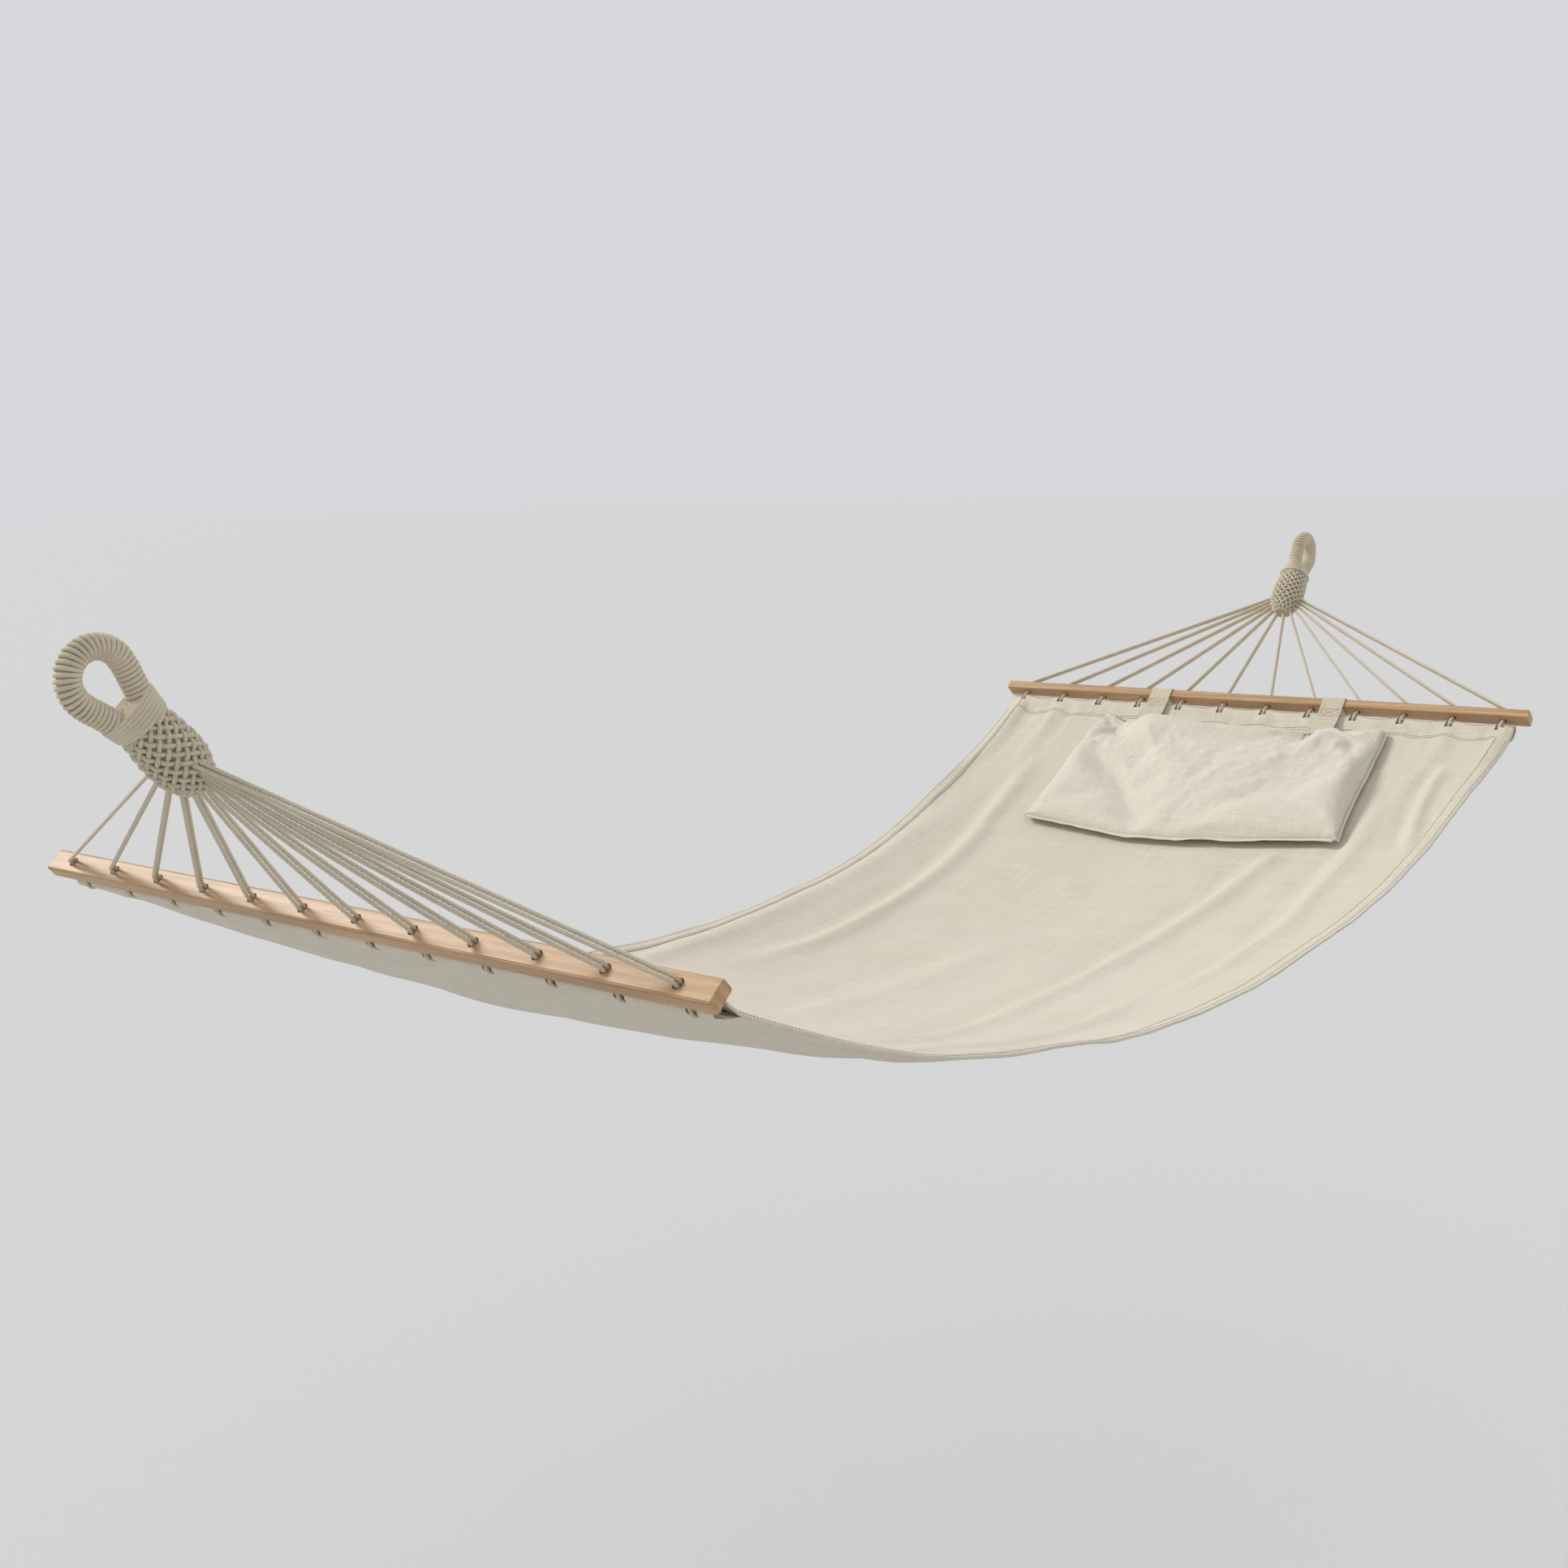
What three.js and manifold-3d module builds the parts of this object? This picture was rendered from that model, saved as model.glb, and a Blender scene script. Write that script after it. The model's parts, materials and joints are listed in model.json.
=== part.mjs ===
// A spreader-bar hammock: a canvas bed between two drilled wooden bars, a fan of doubled
// cords at each end that gathers in a plaited knot, a whipped rope eye on each knot, and a
// pillow strapped to the head bar. Millimetres, +Z up, +X from foot to head, +Y to the left.
// The origin is the point where the head hook bears on the head eye.
import * as THREE from 'three';
import { mergeVertices } from 'three/addons/utils/BufferGeometryUtils.js';
import Module from 'manifold-3d';

const manifold = await Module();
manifold.setup();

// ---- Driving dimensions ----
const SPAN = 1960;                    // between the two bars' centre lines
const HARNESS_RISE = Math.PI * 48 / 180; // the cords' slope above the horizontal
const TOUCH_GAP = 0.3;                // left between pieces that rest on each other

const BAR_LENGTH = 960;
const BAR_WIDTH = 26;                 // across the wide face
const BAR_THICKNESS = 16;             // along the holes
const BAR_CHAMFER = 2;
const HOLE_COUNT = 12;
const HOLE_PITCH = 80;
const HOLE_RADIUS = 5.6;

const CORD_RADIUS = 2;
const STRAND_OFFSET = 2.4;            // each strand of a doubled cord from the fan's plane
const CORD_SIDES = 8;
const CORD_TUCK = 8;                  // how far each strand starts inside the knot
const CORD_BEND = 5;                  // each side of the turn at the hole's mouth
const MOUTH_STANDOFF = 5.2;           // from the bar's face to that turn
const BIGHT_ANGLES = [50, 90, 135, 180, 225, 270, 310]; // round the hem rope, in degrees

const KNOT_CENTRE = 236;              // from the bar's centre, along the harness
const KNOT_TIP = 192;                 // the pointed end, from the bar's centre
const KNOT_OUTLINE = [                // distance from the pointed end, radius
  [0, 0], [2, 11], [14, 22], [30, 28], [47, 29], [66, 27.5], [84, 25], [121, 24], [121, 0],
];
const KNOT_COVER = 5;                 // thickness of the plaited cover
const FAN_RADIUS = 24;                // where the cords enter, inside the knot
const FAN_HALF_ANGLE = Math.PI * 72 / 180;

const EYE_THROAT = 283;               // where the eye leaves the knot
const EYE_BEARING = 348;              // where the hook bears, inside the end of the loop
const EYE_ROPE_RADIUS = 7;
const WHIPPING_RADIUS = 12;
const EYE_BEND_RADIUS = 27;           // centre line at the end of the loop
const EYE_BEND_HALF = Math.PI * 105 / 180;
const EYE_LEG_OFFSET = 12.3;          // half the distance between the legs at the throat
const EYE_LEG_TUCK = 24;              // how far the legs start inside the knot
const EYE_SHOULDER = [16, 18];        // where the legs spread: beyond the throat, from the middle
const SWING_CLEARANCE = 1;            // between the eye and the knot, across the swing axis
const CUTTER_REACH = 400;             // past everything a cutting block must clear

const HEM_DROP = 24;                  // hem rope's centre from the bar's centre
const HEM_ROPE_RADIUS = 5.7;
const HEM_WALL = 2.5;
const HEM_HALF_WIDTH = 462;
const HEM_ROPE_INSET = 2;             // of the rope's ends inside the hem's
const NOTCH_WIDTH = 11;               // opening in the hem for each cord's bight
const NOTCH_REACH = 11.3;

const CANVAS_THICKNESS = 3;
const MID_HALF_WIDTH = 450;
const SAG = 247;                      // of the edges on average, below the bars' centres
const LEAN = 20;                      // how much lower the left edge hangs, and higher the right
const SAG_POWER = 2.2;
const CUP = 55;                       // how much lower the middle lies than the edges

const PILLOW_REAR = 928;              // towards the bar
const PILLOW_FRONT = 628;
const PILLOW_HALF_WIDTH = 275;
const PILLOW_HEIGHT = 64;
const PILLOW_RIM = 8;
const PILLOW_PINCH = 12;              // how far the middles of its edges draw in
const PILLOW_SKEW = 30;                // how far its front edge hangs to the right of its rear
const PILLOW_LIFT = 2.8;              // above the canvas
const COVER_CLOTH = 2;
const ZIP_HALF_LENGTH = 170;
const ZIP_MOUTH = [2.6, 5.4];         // heights above the pillow's underside
const ZIP_DEPTH = 30;

const STRAP_WIDTH = 38;
const STRAP_THICKNESS = 2;
const STRAP_Y = 2 * HOLE_PITCH;
const STRAP_GAP = 0.4;                // between the strap and the bar
const FLEX_GAP = 2.5;                 // between the strap's loop and its tab, at the flip line

// ---- Derived places ----
const HOOK_X = SPAN / 2 + EYE_BEARING * Math.cos(HARNESS_RISE);
const HOOK_Z = EYE_BEARING * Math.sin(HARNESS_RISE);
const HEM_X = SPAN / 2 - HEM_DROP * Math.cos(HARNESS_RISE);
const HEM_Z = -HEM_DROP * Math.sin(HARNESS_RISE);

// ---- Materials ----
const paint = (color, roughness) => new THREE.MeshStandardMaterial({ color, roughness, metalness: 0 });
const MATERIALS = {
  wood: paint(0xc99a63, 0.5),
  cord: paint(0xe6dcc4, 0.85),
  whipping: paint(0xd9ccb0, 0.9),
  canvas: paint(0xece4d2, 0.9),
  hemRope: paint(0xd8cdb4, 0.9),
  pillow: paint(0xefe8d9, 0.9),
  filling: paint(0xffffff, 1),
  strap: paint(0xe3d9c2, 0.9),
};

// ---- Helpers ----
function toSolid(geometry) {
  const bare = geometry.clone();
  bare.deleteAttribute('normal');
  bare.deleteAttribute('uv');
  const merged = mergeVertices(bare, 1e-4);
  return new manifold.Manifold(new manifold.Mesh({
    numProp: 3,
    vertProperties: new Float32Array(merged.attributes.position.array),
    triVerts: new Uint32Array(merged.index.array),
  }));
}

function toGeometry(solid) {
  const mesh = solid.getMesh();
  const geometry = new THREE.BufferGeometry();
  geometry.setAttribute('position', new THREE.BufferAttribute(new Float32Array(mesh.vertProperties), 3));
  geometry.setIndex(new THREE.BufferAttribute(new Uint32Array(mesh.triVerts), 1));
  geometry.computeVertexNormals();
  return geometry;
}

function piece(name, geometry, material) {
  const mesh = new THREE.Mesh(geometry, material);
  mesh.name = name;
  return mesh;
}

// A curve whose given points are exactly the sections that an extrusion places along it.
class Route extends THREE.Curve {
  constructor(points) {
    super();
    this.points = points;
  }

  index(t) {
    return Math.round(t * (this.points.length - 1));
  }

  getPoint(t, target = new THREE.Vector3()) {
    return target.copy(this.points[this.index(t)]);
  }

  getPointAt(u, target) {
    return this.getPoint(u, target);
  }

  getTangentAt(u, target = new THREE.Vector3()) {
    const i = this.index(u);
    const before = this.points[Math.max(i - 1, 0)];
    const after = this.points[Math.min(i + 1, this.points.length - 1)];
    return target.subVectors(after, before).normalize();
  }
}

function roundShape(radius, sides, holeRadius = 0) {
  const ring = (r) => Array.from({ length: sides }, (_, i) => {
    const angle = (2 * Math.PI * i) / sides;
    return new THREE.Vector2(r * Math.cos(angle), r * Math.sin(angle));
  });
  const shape = new THREE.Shape(ring(radius));
  if (holeRadius > 0) shape.holes.push(new THREE.Path(ring(holeRadius)));
  return shape;
}

function sweep(points, shape) {
  return new THREE.ExtrudeGeometry(shape, {
    extrudePath: new Route(points),
    steps: points.length - 1,
    bevelEnabled: false,
  });
}

function alongY(shape, length) {
  const ends = [new THREE.Vector3(0, -length / 2, 0), new THREE.Vector3(0, length / 2, 0)];
  return sweep(ends, shape);
}

function box(x0, x1, y0, y1, z0, z1) {
  const geometry = new THREE.BoxGeometry(x1 - x0, y1 - y0, z1 - z0);
  return geometry.translate((x0 + x1) / 2, (y0 + y1) / 2, (z0 + z1) / 2);
}

const holeY = (i) => ((HOLE_COUNT - 1) / 2 - i) * HOLE_PITCH;

// ---- One end of the hammock ----
// In an end's own frame x runs along the harness from the bar's centre to the hook, y along
// the bar and z across the fan of cords. The head end is this frame tilted up about Y.

// Everything on the hook's side, or on the bed's side, of a plane square to the swing axis.
function sideOfThroat(hookSide) {
  const cut = EYE_THROAT * Math.cos(HARNESS_RISE) + (hookSide ? 1 : -1) * SWING_CLEARANCE / 2;
  const far = cut + (hookSide ? CUTTER_REACH : -CUTTER_REACH);
  const wide = [-CUTTER_REACH, CUTTER_REACH];
  const half = box(Math.min(cut, far), Math.max(cut, far), ...wide, ...wide);
  return toSolid(half.rotateY(HARNESS_RISE));
}

function spreaderBar() {
  const x = BAR_THICKNESS / 2;
  const z = BAR_WIDTH / 2;
  const c = BAR_CHAMFER;
  const right = [[x - c, -z], [x, c - z], [x, z - c], [x - c, z]];
  const outline = [...right, ...right.map(([a, b]) => [-a, -b])];
  const section = new THREE.Shape(outline.map(([a, b]) => new THREE.Vector2(a, b)));
  const bar = new THREE.ExtrudeGeometry(section, { depth: BAR_LENGTH, steps: 1, bevelEnabled: false });
  bar.translate(0, 0, -BAR_LENGTH / 2).rotateX(Math.PI / 2);
  let solid = toSolid(bar);
  for (let i = 0; i < HOLE_COUNT; i++) {
    const drill = new THREE.CylinderGeometry(HOLE_RADIUS, HOLE_RADIUS, BAR_THICKNESS * 2, 10);
    drill.rotateZ(Math.PI / 2).translate(0, holeY(i), 0);
    solid = solid.subtract(toSolid(drill));
  }
  return toGeometry(solid);
}

// The knot is egg-shaped: pointed where the cords enter, as wide as the eye's legs above.
function knotBody(grow) {
  const shift = (x) => grow * Math.max(1 - x / (KNOT_CENTRE - KNOT_TIP), 0);
  const profile = KNOT_OUTLINE.map(([x, r]) => new THREE.Vector2(r === 0 ? 0 : r + grow, x - shift(x)));
  const egg = new THREE.LatheGeometry(profile, 16);
  egg.translate(0, KNOT_TIP, 0).scale(1, 1, -1);
  egg.index.array.reverse();
  return toSolid(egg.rotateZ(-Math.PI / 2));
}

function knotCover() {
  return toGeometry(knotBody(0).subtract(knotBody(-KNOT_COVER)).intersect(sideOfThroat(false)));
}

function knotCore() {
  return toGeometry(knotBody(-KNOT_COVER - 2 * TOUCH_GAP).intersect(sideOfThroat(false)));
}

// The loop's centre line, upright from one leg in the throat round the end and back down the other.
function eyeRoute() {
  const centre = EYE_BEARING + WHIPPING_RADIUS - EYE_BEND_RADIUS;
  const bendSteps = 12;
  const points = [];
  const leg = [
    [EYE_THROAT - EYE_LEG_TUCK, EYE_LEG_OFFSET],
    [EYE_THROAT, EYE_LEG_OFFSET],
    [EYE_THROAT + EYE_SHOULDER[0], EYE_SHOULDER[1]],
  ];
  leg.forEach(([x, z]) => points.push(new THREE.Vector3(x, 0, z)));
  for (let i = 0; i <= bendSteps; i++) {
    const angle = EYE_BEND_HALF * (1 - (2 * i) / bendSteps);
    const [x, z] = [Math.cos(angle), Math.sin(angle)].map((v) => v * EYE_BEND_RADIUS);
    points.push(new THREE.Vector3(centre + x, 0, z));
  }
  leg.reverse().forEach(([x, z]) => points.push(new THREE.Vector3(x, 0, -z)));
  return points;
}

function eyeRope() {
  const loop = toSolid(sweep(eyeRoute(), roundShape(EYE_ROPE_RADIUS, 8)));
  return toGeometry(loop.intersect(sideOfThroat(true)));
}

function eyeWhipping() {
  const sleeve = roundShape(WHIPPING_RADIUS, 10, EYE_ROPE_RADIUS + 2 * TOUCH_GAP);
  return toGeometry(toSolid(sweep(eyeRoute(), sleeve)).intersect(sideOfThroat(true)));
}

// A doubled cord: from the knot down through its hole, round the hem rope and back.
function suspensionCord(i) {
  const y = holeY(i);
  const spread = 2 * i / (HOLE_COUNT - 1) - 1;
  const entry = -spread * FAN_HALF_ANGLE;
  const inKnot = new THREE.Vector2(KNOT_CENTRE - FAN_RADIUS * Math.cos(entry), FAN_RADIUS * Math.sin(entry));
  const mouth = new THREE.Vector2(BAR_THICKNESS / 2 + MOUTH_STANDOFF, y);
  const run = new THREE.Vector2().subVectors(inKnot, mouth).normalize();
  const down = [
    inKnot.clone().addScaledVector(run, CORD_TUCK),
    mouth.clone().addScaledVector(run, CORD_BEND),
    mouth.clone().addScaledVector(run, CORD_BEND / 4).add(new THREE.Vector2(-CORD_BEND / 4, 0)),
    new THREE.Vector2(mouth.x - CORD_BEND, y),
    new THREE.Vector2(-BAR_THICKNESS / 2 - CORD_RADIUS, y),
  ];
  const bightRadius = HEM_ROPE_RADIUS + TOUCH_GAP + CORD_RADIUS;
  const strand = (side) => down.map((p) => new THREE.Vector3(p.x, p.y, side * STRAND_OFFSET));
  const bight = BIGHT_ANGLES.map((degrees) => {
    const angle = degrees * Math.PI / 180;
    return new THREE.Vector3(-HEM_DROP + bightRadius * Math.cos(angle), y, bightRadius * Math.sin(angle));
  });
  const route = [...strand(1), ...bight, ...strand(-1).reverse()];
  const cord = toSolid(sweep(route, roundShape(CORD_RADIUS, CORD_SIDES)));
  return toGeometry(cord.subtract(knotBody(TOUCH_GAP)));
}

function hammockEnd(label) {
  const end = new THREE.Group();
  end.add(piece(`${label}_spreader_bar`, spreaderBar(), MATERIALS.wood));
  end.add(piece(`${label}_knot_cover`, knotCover(), MATERIALS.cord));
  end.add(piece(`${label}_knot_core`, knotCore(), MATERIALS.hemRope));
  end.add(piece(`${label}_eye_rope`, eyeRope(), MATERIALS.hemRope));
  end.add(piece(`${label}_eye_whipping`, eyeWhipping(), MATERIALS.whipping));
  const hemRope = alongY(roundShape(HEM_ROPE_RADIUS, 8), 2 * (HEM_HALF_WIDTH - HEM_ROPE_INSET));
  end.add(piece(`${label}_hem_rope`, hemRope.translate(-HEM_DROP, 0, 0), MATERIALS.hemRope));
  for (let i = 0; i < HOLE_COUNT; i++) {
    const number = String(i + 1).padStart(2, '0');
    end.add(piece(`${label}_cord_${number}`, suspensionCord(i), MATERIALS.cord));
  }
  end.position.x = SPAN / 2;
  end.rotation.y = -HARNESS_RISE;
  return end;
}

// ---- The bed ----
function bedTop(x, y) {
  const along = Math.min(Math.abs(x) / HEM_X, 1);
  const half = bedHalfWidth(x);
  const fall = (SAG + LEAN * (y / half) + HEM_Z) * (1 - along ** SAG_POWER);
  const cup = CUP * (1 - (y / half) ** 2) * (1 - along ** 2);
  return HEM_Z + CANVAS_THICKNESS / 2 - fall - cup;
}

function bedHalfWidth(x) {
  const along = Math.min(Math.abs(x) / HEM_X, 1);
  return MID_HALF_WIDTH + (HEM_HALF_WIDTH - MID_HALF_WIDTH) * along ** 2;
}

// A closed solid between two height functions over a grid of columns and rows.
function slab(columns, rows, place, bottom, top) {
  const positions = [];
  const index = [];
  const layer = (columns + 1) * (rows + 1);
  for (const height of [bottom, top]) {
    for (let i = 0; i <= columns; i++) {
      for (let j = 0; j <= rows; j++) {
        const [x, y] = place(i / columns, j / rows);
        positions.push(x, y, height(x, y));
      }
    }
  }
  const at = (i, j, level) => level * layer + i * (rows + 1) + j;
  const quad = (a, b, c, d) => index.push(a, b, c, a, c, d);
  for (let i = 0; i < columns; i++) {
    for (let j = 0; j < rows; j++) {
      quad(at(i, j, 1), at(i + 1, j, 1), at(i + 1, j + 1, 1), at(i, j + 1, 1));
      quad(at(i, j, 0), at(i, j + 1, 0), at(i + 1, j + 1, 0), at(i + 1, j, 0));
    }
    quad(at(i, 0, 0), at(i + 1, 0, 0), at(i + 1, 0, 1), at(i, 0, 1));
    quad(at(i + 1, rows, 0), at(i, rows, 0), at(i, rows, 1), at(i + 1, rows, 1));
  }
  for (let j = 0; j < rows; j++) {
    quad(at(0, j + 1, 0), at(0, j, 0), at(0, j, 1), at(0, j + 1, 1));
    quad(at(columns, j, 0), at(columns, j + 1, 0), at(columns, j + 1, 1), at(columns, j, 1));
  }
  const geometry = new THREE.BufferGeometry();
  geometry.setAttribute('position', new THREE.BufferAttribute(new Float32Array(positions), 3));
  geometry.setIndex(index);
  return geometry;
}

// The canvas ends in a hem folded round the hem rope, notched where each cord's bight passes.
function canvasBed() {
  const canvasEnd = HEM_X - HEM_ROPE_RADIUS - HEM_WALL / 2 - 2 * TOUCH_GAP;
  const place = (s, t) => {
    const x = (2 * s - 1) * canvasEnd;
    return [x, (2 * t - 1) * bedHalfWidth(x)];
  };
  let solid = toSolid(slab(30, 12, place, (x, y) => bedTop(x, y) - CANVAS_THICKNESS, bedTop));
  const bore = HEM_ROPE_RADIUS + 2 * TOUCH_GAP;
  for (const end of [-1, 1]) {
    const hem = alongY(roundShape(bore + HEM_WALL, 8, bore), 2 * HEM_HALF_WIDTH);
    const tunnel = alongY(roundShape(bore, 8), 3 * HEM_HALF_WIDTH);
    for (const tube of [hem, tunnel]) tube.rotateY(Math.PI / 8).translate(end * HEM_X, 0, HEM_Z);
    solid = solid.add(toSolid(hem)).subtract(toSolid(tunnel));
    for (let i = 0; i < HOLE_COUNT; i++) {
      const reach = [-NOTCH_REACH, NOTCH_REACH];
      const notch = box(...reach, -NOTCH_WIDTH / 2, NOTCH_WIDTH / 2, ...reach);
      solid = solid.subtract(toSolid(notch.translate(end * HEM_X, holeY(i), HEM_Z)));
    }
  }
  return toGeometry(solid);
}

// ---- The pillow ----
// A crowned cushion that lies in the bed's curve; inset shrinks it on every side.
function pillowBody(inset) {
  const middle = (PILLOW_REAR + PILLOW_FRONT) / 2;
  const halfLength = (PILLOW_REAR - PILLOW_FRONT) / 2 - inset;
  const halfWidth = PILLOW_HALF_WIDTH - inset;
  const place = (s, t) => {
    const a = 2 * s - 1;
    const b = 2 * t - 1;
    const drawnIn = (other) => PILLOW_PINCH * (1 - other * other);
    const hang = PILLOW_SKEW * (a - 1) / 2;
    return [middle + a * (halfLength - drawnIn(b)), b * (halfWidth - drawnIn(a)) + hang];
  };
  const bottom = (x, y) => bedTop(x, y) + PILLOW_LIFT + inset;
  const crown = (x, y) => {
    const a = Math.min(Math.abs(x - middle) / halfLength, 1);
    const hang = PILLOW_SKEW * ((x - middle) / halfLength - 1) / 2;
    const b = Math.min(Math.abs(y - hang) / halfWidth, 1);
    const swell = Math.sqrt((1 - a ** 3) * (1 - b ** 4));
    return bottom(x, y) + PILLOW_RIM - 2 * inset + (PILLOW_HEIGHT - PILLOW_RIM) * swell;
  };
  return toSolid(slab(10, 12, place, bottom, crown));
}

function pillowCover() {
  const shell = pillowBody(0).subtract(pillowBody(COVER_CLOTH));
  const [low, high] = ZIP_MOUTH.map((height) => bedTop(PILLOW_REAR, 0) + PILLOW_LIFT + height);
  const depths = [PILLOW_REAR - ZIP_DEPTH, PILLOW_REAR + COVER_CLOTH];
  const zip = box(...depths, -ZIP_HALF_LENGTH, ZIP_HALF_LENGTH, low, high);
  return toGeometry(shell.subtract(toSolid(zip)));
}

function pillowFilling() {
  return toGeometry(pillowBody(COVER_CLOTH + 2 * TOUCH_GAP));
}

// A strap's section goes once round the bar, in the head end's own frame.
function strapLoop(y) {
  const x = BAR_THICKNESS / 2 + STRAP_GAP;
  const z = BAR_WIDTH / 2 + STRAP_GAP;
  const t = STRAP_THICKNESS;
  const ring = (a, b) => [[a, -b], [a, b], [-a, b], [-a, -b]].map(([p, q]) => new THREE.Vector2(p, q));
  const shape = new THREE.Shape(ring(x + t, z + t));
  shape.holes.push(new THREE.Path(ring(x, z)));
  return new THREE.ExtrudeGeometry(shape, { depth: STRAP_WIDTH, steps: 1, bevelEnabled: false })
    .translate(0, 0, -STRAP_WIDTH / 2).rotateX(Math.PI / 2).translate(0, y, 0);
}

// The line on which the pillow flips: the strap's bend over the bar's inner upper edge.
function flipLine() {
  const x = -(BAR_THICKNESS / 2 + STRAP_GAP + STRAP_THICKNESS / 2);
  const z = BAR_WIDTH / 2 + STRAP_GAP + STRAP_THICKNESS / 2;
  const c = Math.cos(HARNESS_RISE);
  const s = Math.sin(HARNESS_RISE);
  return new THREE.Vector2(SPAN / 2 + x * c - z * s, x * s + z * c);
}

// The strap's tab runs from the flip line to the pillow's rear edge.
function strapTab(y) {
  const start = flipLine();
  const top = bedTop(PILLOW_REAR, y) + PILLOW_LIFT + PILLOW_RIM;
  const edge = new THREE.Vector2(PILLOW_REAR + TOUCH_GAP, top - STRAP_THICKNESS / 2);
  const length = start.distanceTo(edge);
  const slope = Math.atan2(start.y - edge.y, start.x - edge.x);
  const t = STRAP_THICKNESS / 2;
  const tab = box(-length, -FLEX_GAP, y - STRAP_WIDTH / 2, y + STRAP_WIDTH / 2, -t, t);
  return tab.rotateY(-slope).translate(start.x, 0, start.y);
}

// ---- Assembly ----
const hammock = new THREE.Group();
hammock.position.set(-HOOK_X, 0, -HOOK_Z);

const headEnd = hammockEnd('head');
const footEnd = new THREE.Group();
footEnd.rotation.z = Math.PI;
footEnd.add(hammockEnd('foot'));
hammock.add(headEnd, footEnd);
hammock.add(piece('canvas_bed', canvasBed(), MATERIALS.canvas));
hammock.add(piece('pillow_cover', pillowCover(), MATERIALS.pillow));
hammock.add(piece('pillow_filling', pillowFilling(), MATERIALS.filling));
for (const [side, y] of [['left', STRAP_Y], ['right', -STRAP_Y]]) {
  headEnd.add(piece(`strap_loop_${side}`, strapLoop(y), MATERIALS.strap));
  hammock.add(piece(`strap_tab_${side}`, strapTab(y), MATERIALS.strap));
}

export default hammock;
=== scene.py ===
"""A spreader-bar hammock with its pillow: the looks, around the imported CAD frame.

Metres, +Z up, +X from foot to head, +Y to the left. The origin is the head hook's bearing point.
"""
import json
import math

import bmesh
import bpy
import numpy as np
from mathutils import Matrix, Vector


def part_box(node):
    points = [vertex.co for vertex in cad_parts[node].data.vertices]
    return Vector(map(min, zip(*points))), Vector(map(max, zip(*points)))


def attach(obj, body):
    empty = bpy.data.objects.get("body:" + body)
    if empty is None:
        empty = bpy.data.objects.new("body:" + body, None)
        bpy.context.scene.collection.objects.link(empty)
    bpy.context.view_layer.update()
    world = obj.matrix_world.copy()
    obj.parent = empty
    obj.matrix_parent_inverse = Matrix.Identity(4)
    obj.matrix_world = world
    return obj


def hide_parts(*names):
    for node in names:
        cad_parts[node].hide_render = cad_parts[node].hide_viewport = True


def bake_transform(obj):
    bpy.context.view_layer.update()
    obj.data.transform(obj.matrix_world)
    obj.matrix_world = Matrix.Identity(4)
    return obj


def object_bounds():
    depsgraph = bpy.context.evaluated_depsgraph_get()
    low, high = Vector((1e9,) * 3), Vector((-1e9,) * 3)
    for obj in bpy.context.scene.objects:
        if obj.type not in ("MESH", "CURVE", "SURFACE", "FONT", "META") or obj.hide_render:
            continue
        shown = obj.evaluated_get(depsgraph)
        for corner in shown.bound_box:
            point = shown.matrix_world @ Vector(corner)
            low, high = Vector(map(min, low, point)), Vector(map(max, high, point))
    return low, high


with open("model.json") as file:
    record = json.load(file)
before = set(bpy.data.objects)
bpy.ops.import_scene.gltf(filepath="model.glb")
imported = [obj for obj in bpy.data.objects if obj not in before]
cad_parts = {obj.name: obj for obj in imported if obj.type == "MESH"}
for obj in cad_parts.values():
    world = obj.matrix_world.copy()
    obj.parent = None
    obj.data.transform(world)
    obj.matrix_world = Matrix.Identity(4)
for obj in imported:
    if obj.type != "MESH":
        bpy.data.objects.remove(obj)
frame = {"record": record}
CAD_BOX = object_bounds()

# ---- Driving dimensions that repeat the CAD source's, in metres ----
BAR_LENGTH = 0.960
BAR_WIDTH = 0.026
BAR_THICKNESS = 0.016
HOLE_COUNT = 12
HOLE_PITCH = 0.080
HOLE_RADIUS = 0.0056
CORD_RADIUS = 0.002
STRAND_OFFSET = 0.0024
KNOT_CENTRE = 0.236
FAN_RADIUS = 0.024
FAN_HALF_ANGLE = math.radians(72)
EYE_THROAT = 0.283
EYE_BEARING = 0.348
WHIPPING_RADIUS = 0.012
EYE_BEND_RADIUS = 0.027
EYE_LEG_OFFSET = 0.0123
HEM_DROP = 0.024
HEM_ROPE_RADIUS = 0.0057
HEM_HALF_WIDTH = 0.462
MID_HALF_WIDTH = 0.450
SAG = 0.247
LEAN = 0.020
SAG_POWER = 2.2
CUP = 0.055
PILLOW_REAR = 0.928
PILLOW_FRONT = 0.628
PILLOW_HALF_WIDTH = 0.275
STRAP_WIDTH = 0.038
STRAP_Y = 2 * HOLE_PITCH
TOUCH_GAP = 0.0003

# ---- Places taken from the frame ----
MOUNTS = {m["name"]: Vector(m["pos_m"]) for m in frame["record"]["mounts"]}


def box_centre(node):
    low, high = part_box(node)
    return (low + high) / 2


HEM = box_centre("head_hem_rope")
MID_X = (HEM.x + box_centre("foot_hem_rope").x) / 2
HEM_X = HEM.x - MID_X
HEM_Z = HEM.z
BAR_Z = box_centre("head_spreader_bar").z


class End:
    """One end of the hammock: along the harness, across it, and up out of the fan's plane."""

    def __init__(self, label, side):
        self.label = label
        self.side = side
        self.bar = np.array(box_centre(f"{label}_spreader_bar"))
        reach = np.array(MOUNTS[f"{label}_hook"]) - self.bar
        self.along = reach / np.linalg.norm(reach)
        self.across = np.array([0.0, side, 0.0])
        self.up = np.cross(self.along, self.across)

    def place(self, points):
        """Points in the end's own frame, put in the row frame."""
        p = np.atleast_2d(np.asarray(points, float))
        return self.bar + p[:, :1] * self.along + p[:, 1:2] * self.across + p[:, 2:3] * self.up


ENDS = [End("head", 1), End("foot", -1)]


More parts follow.
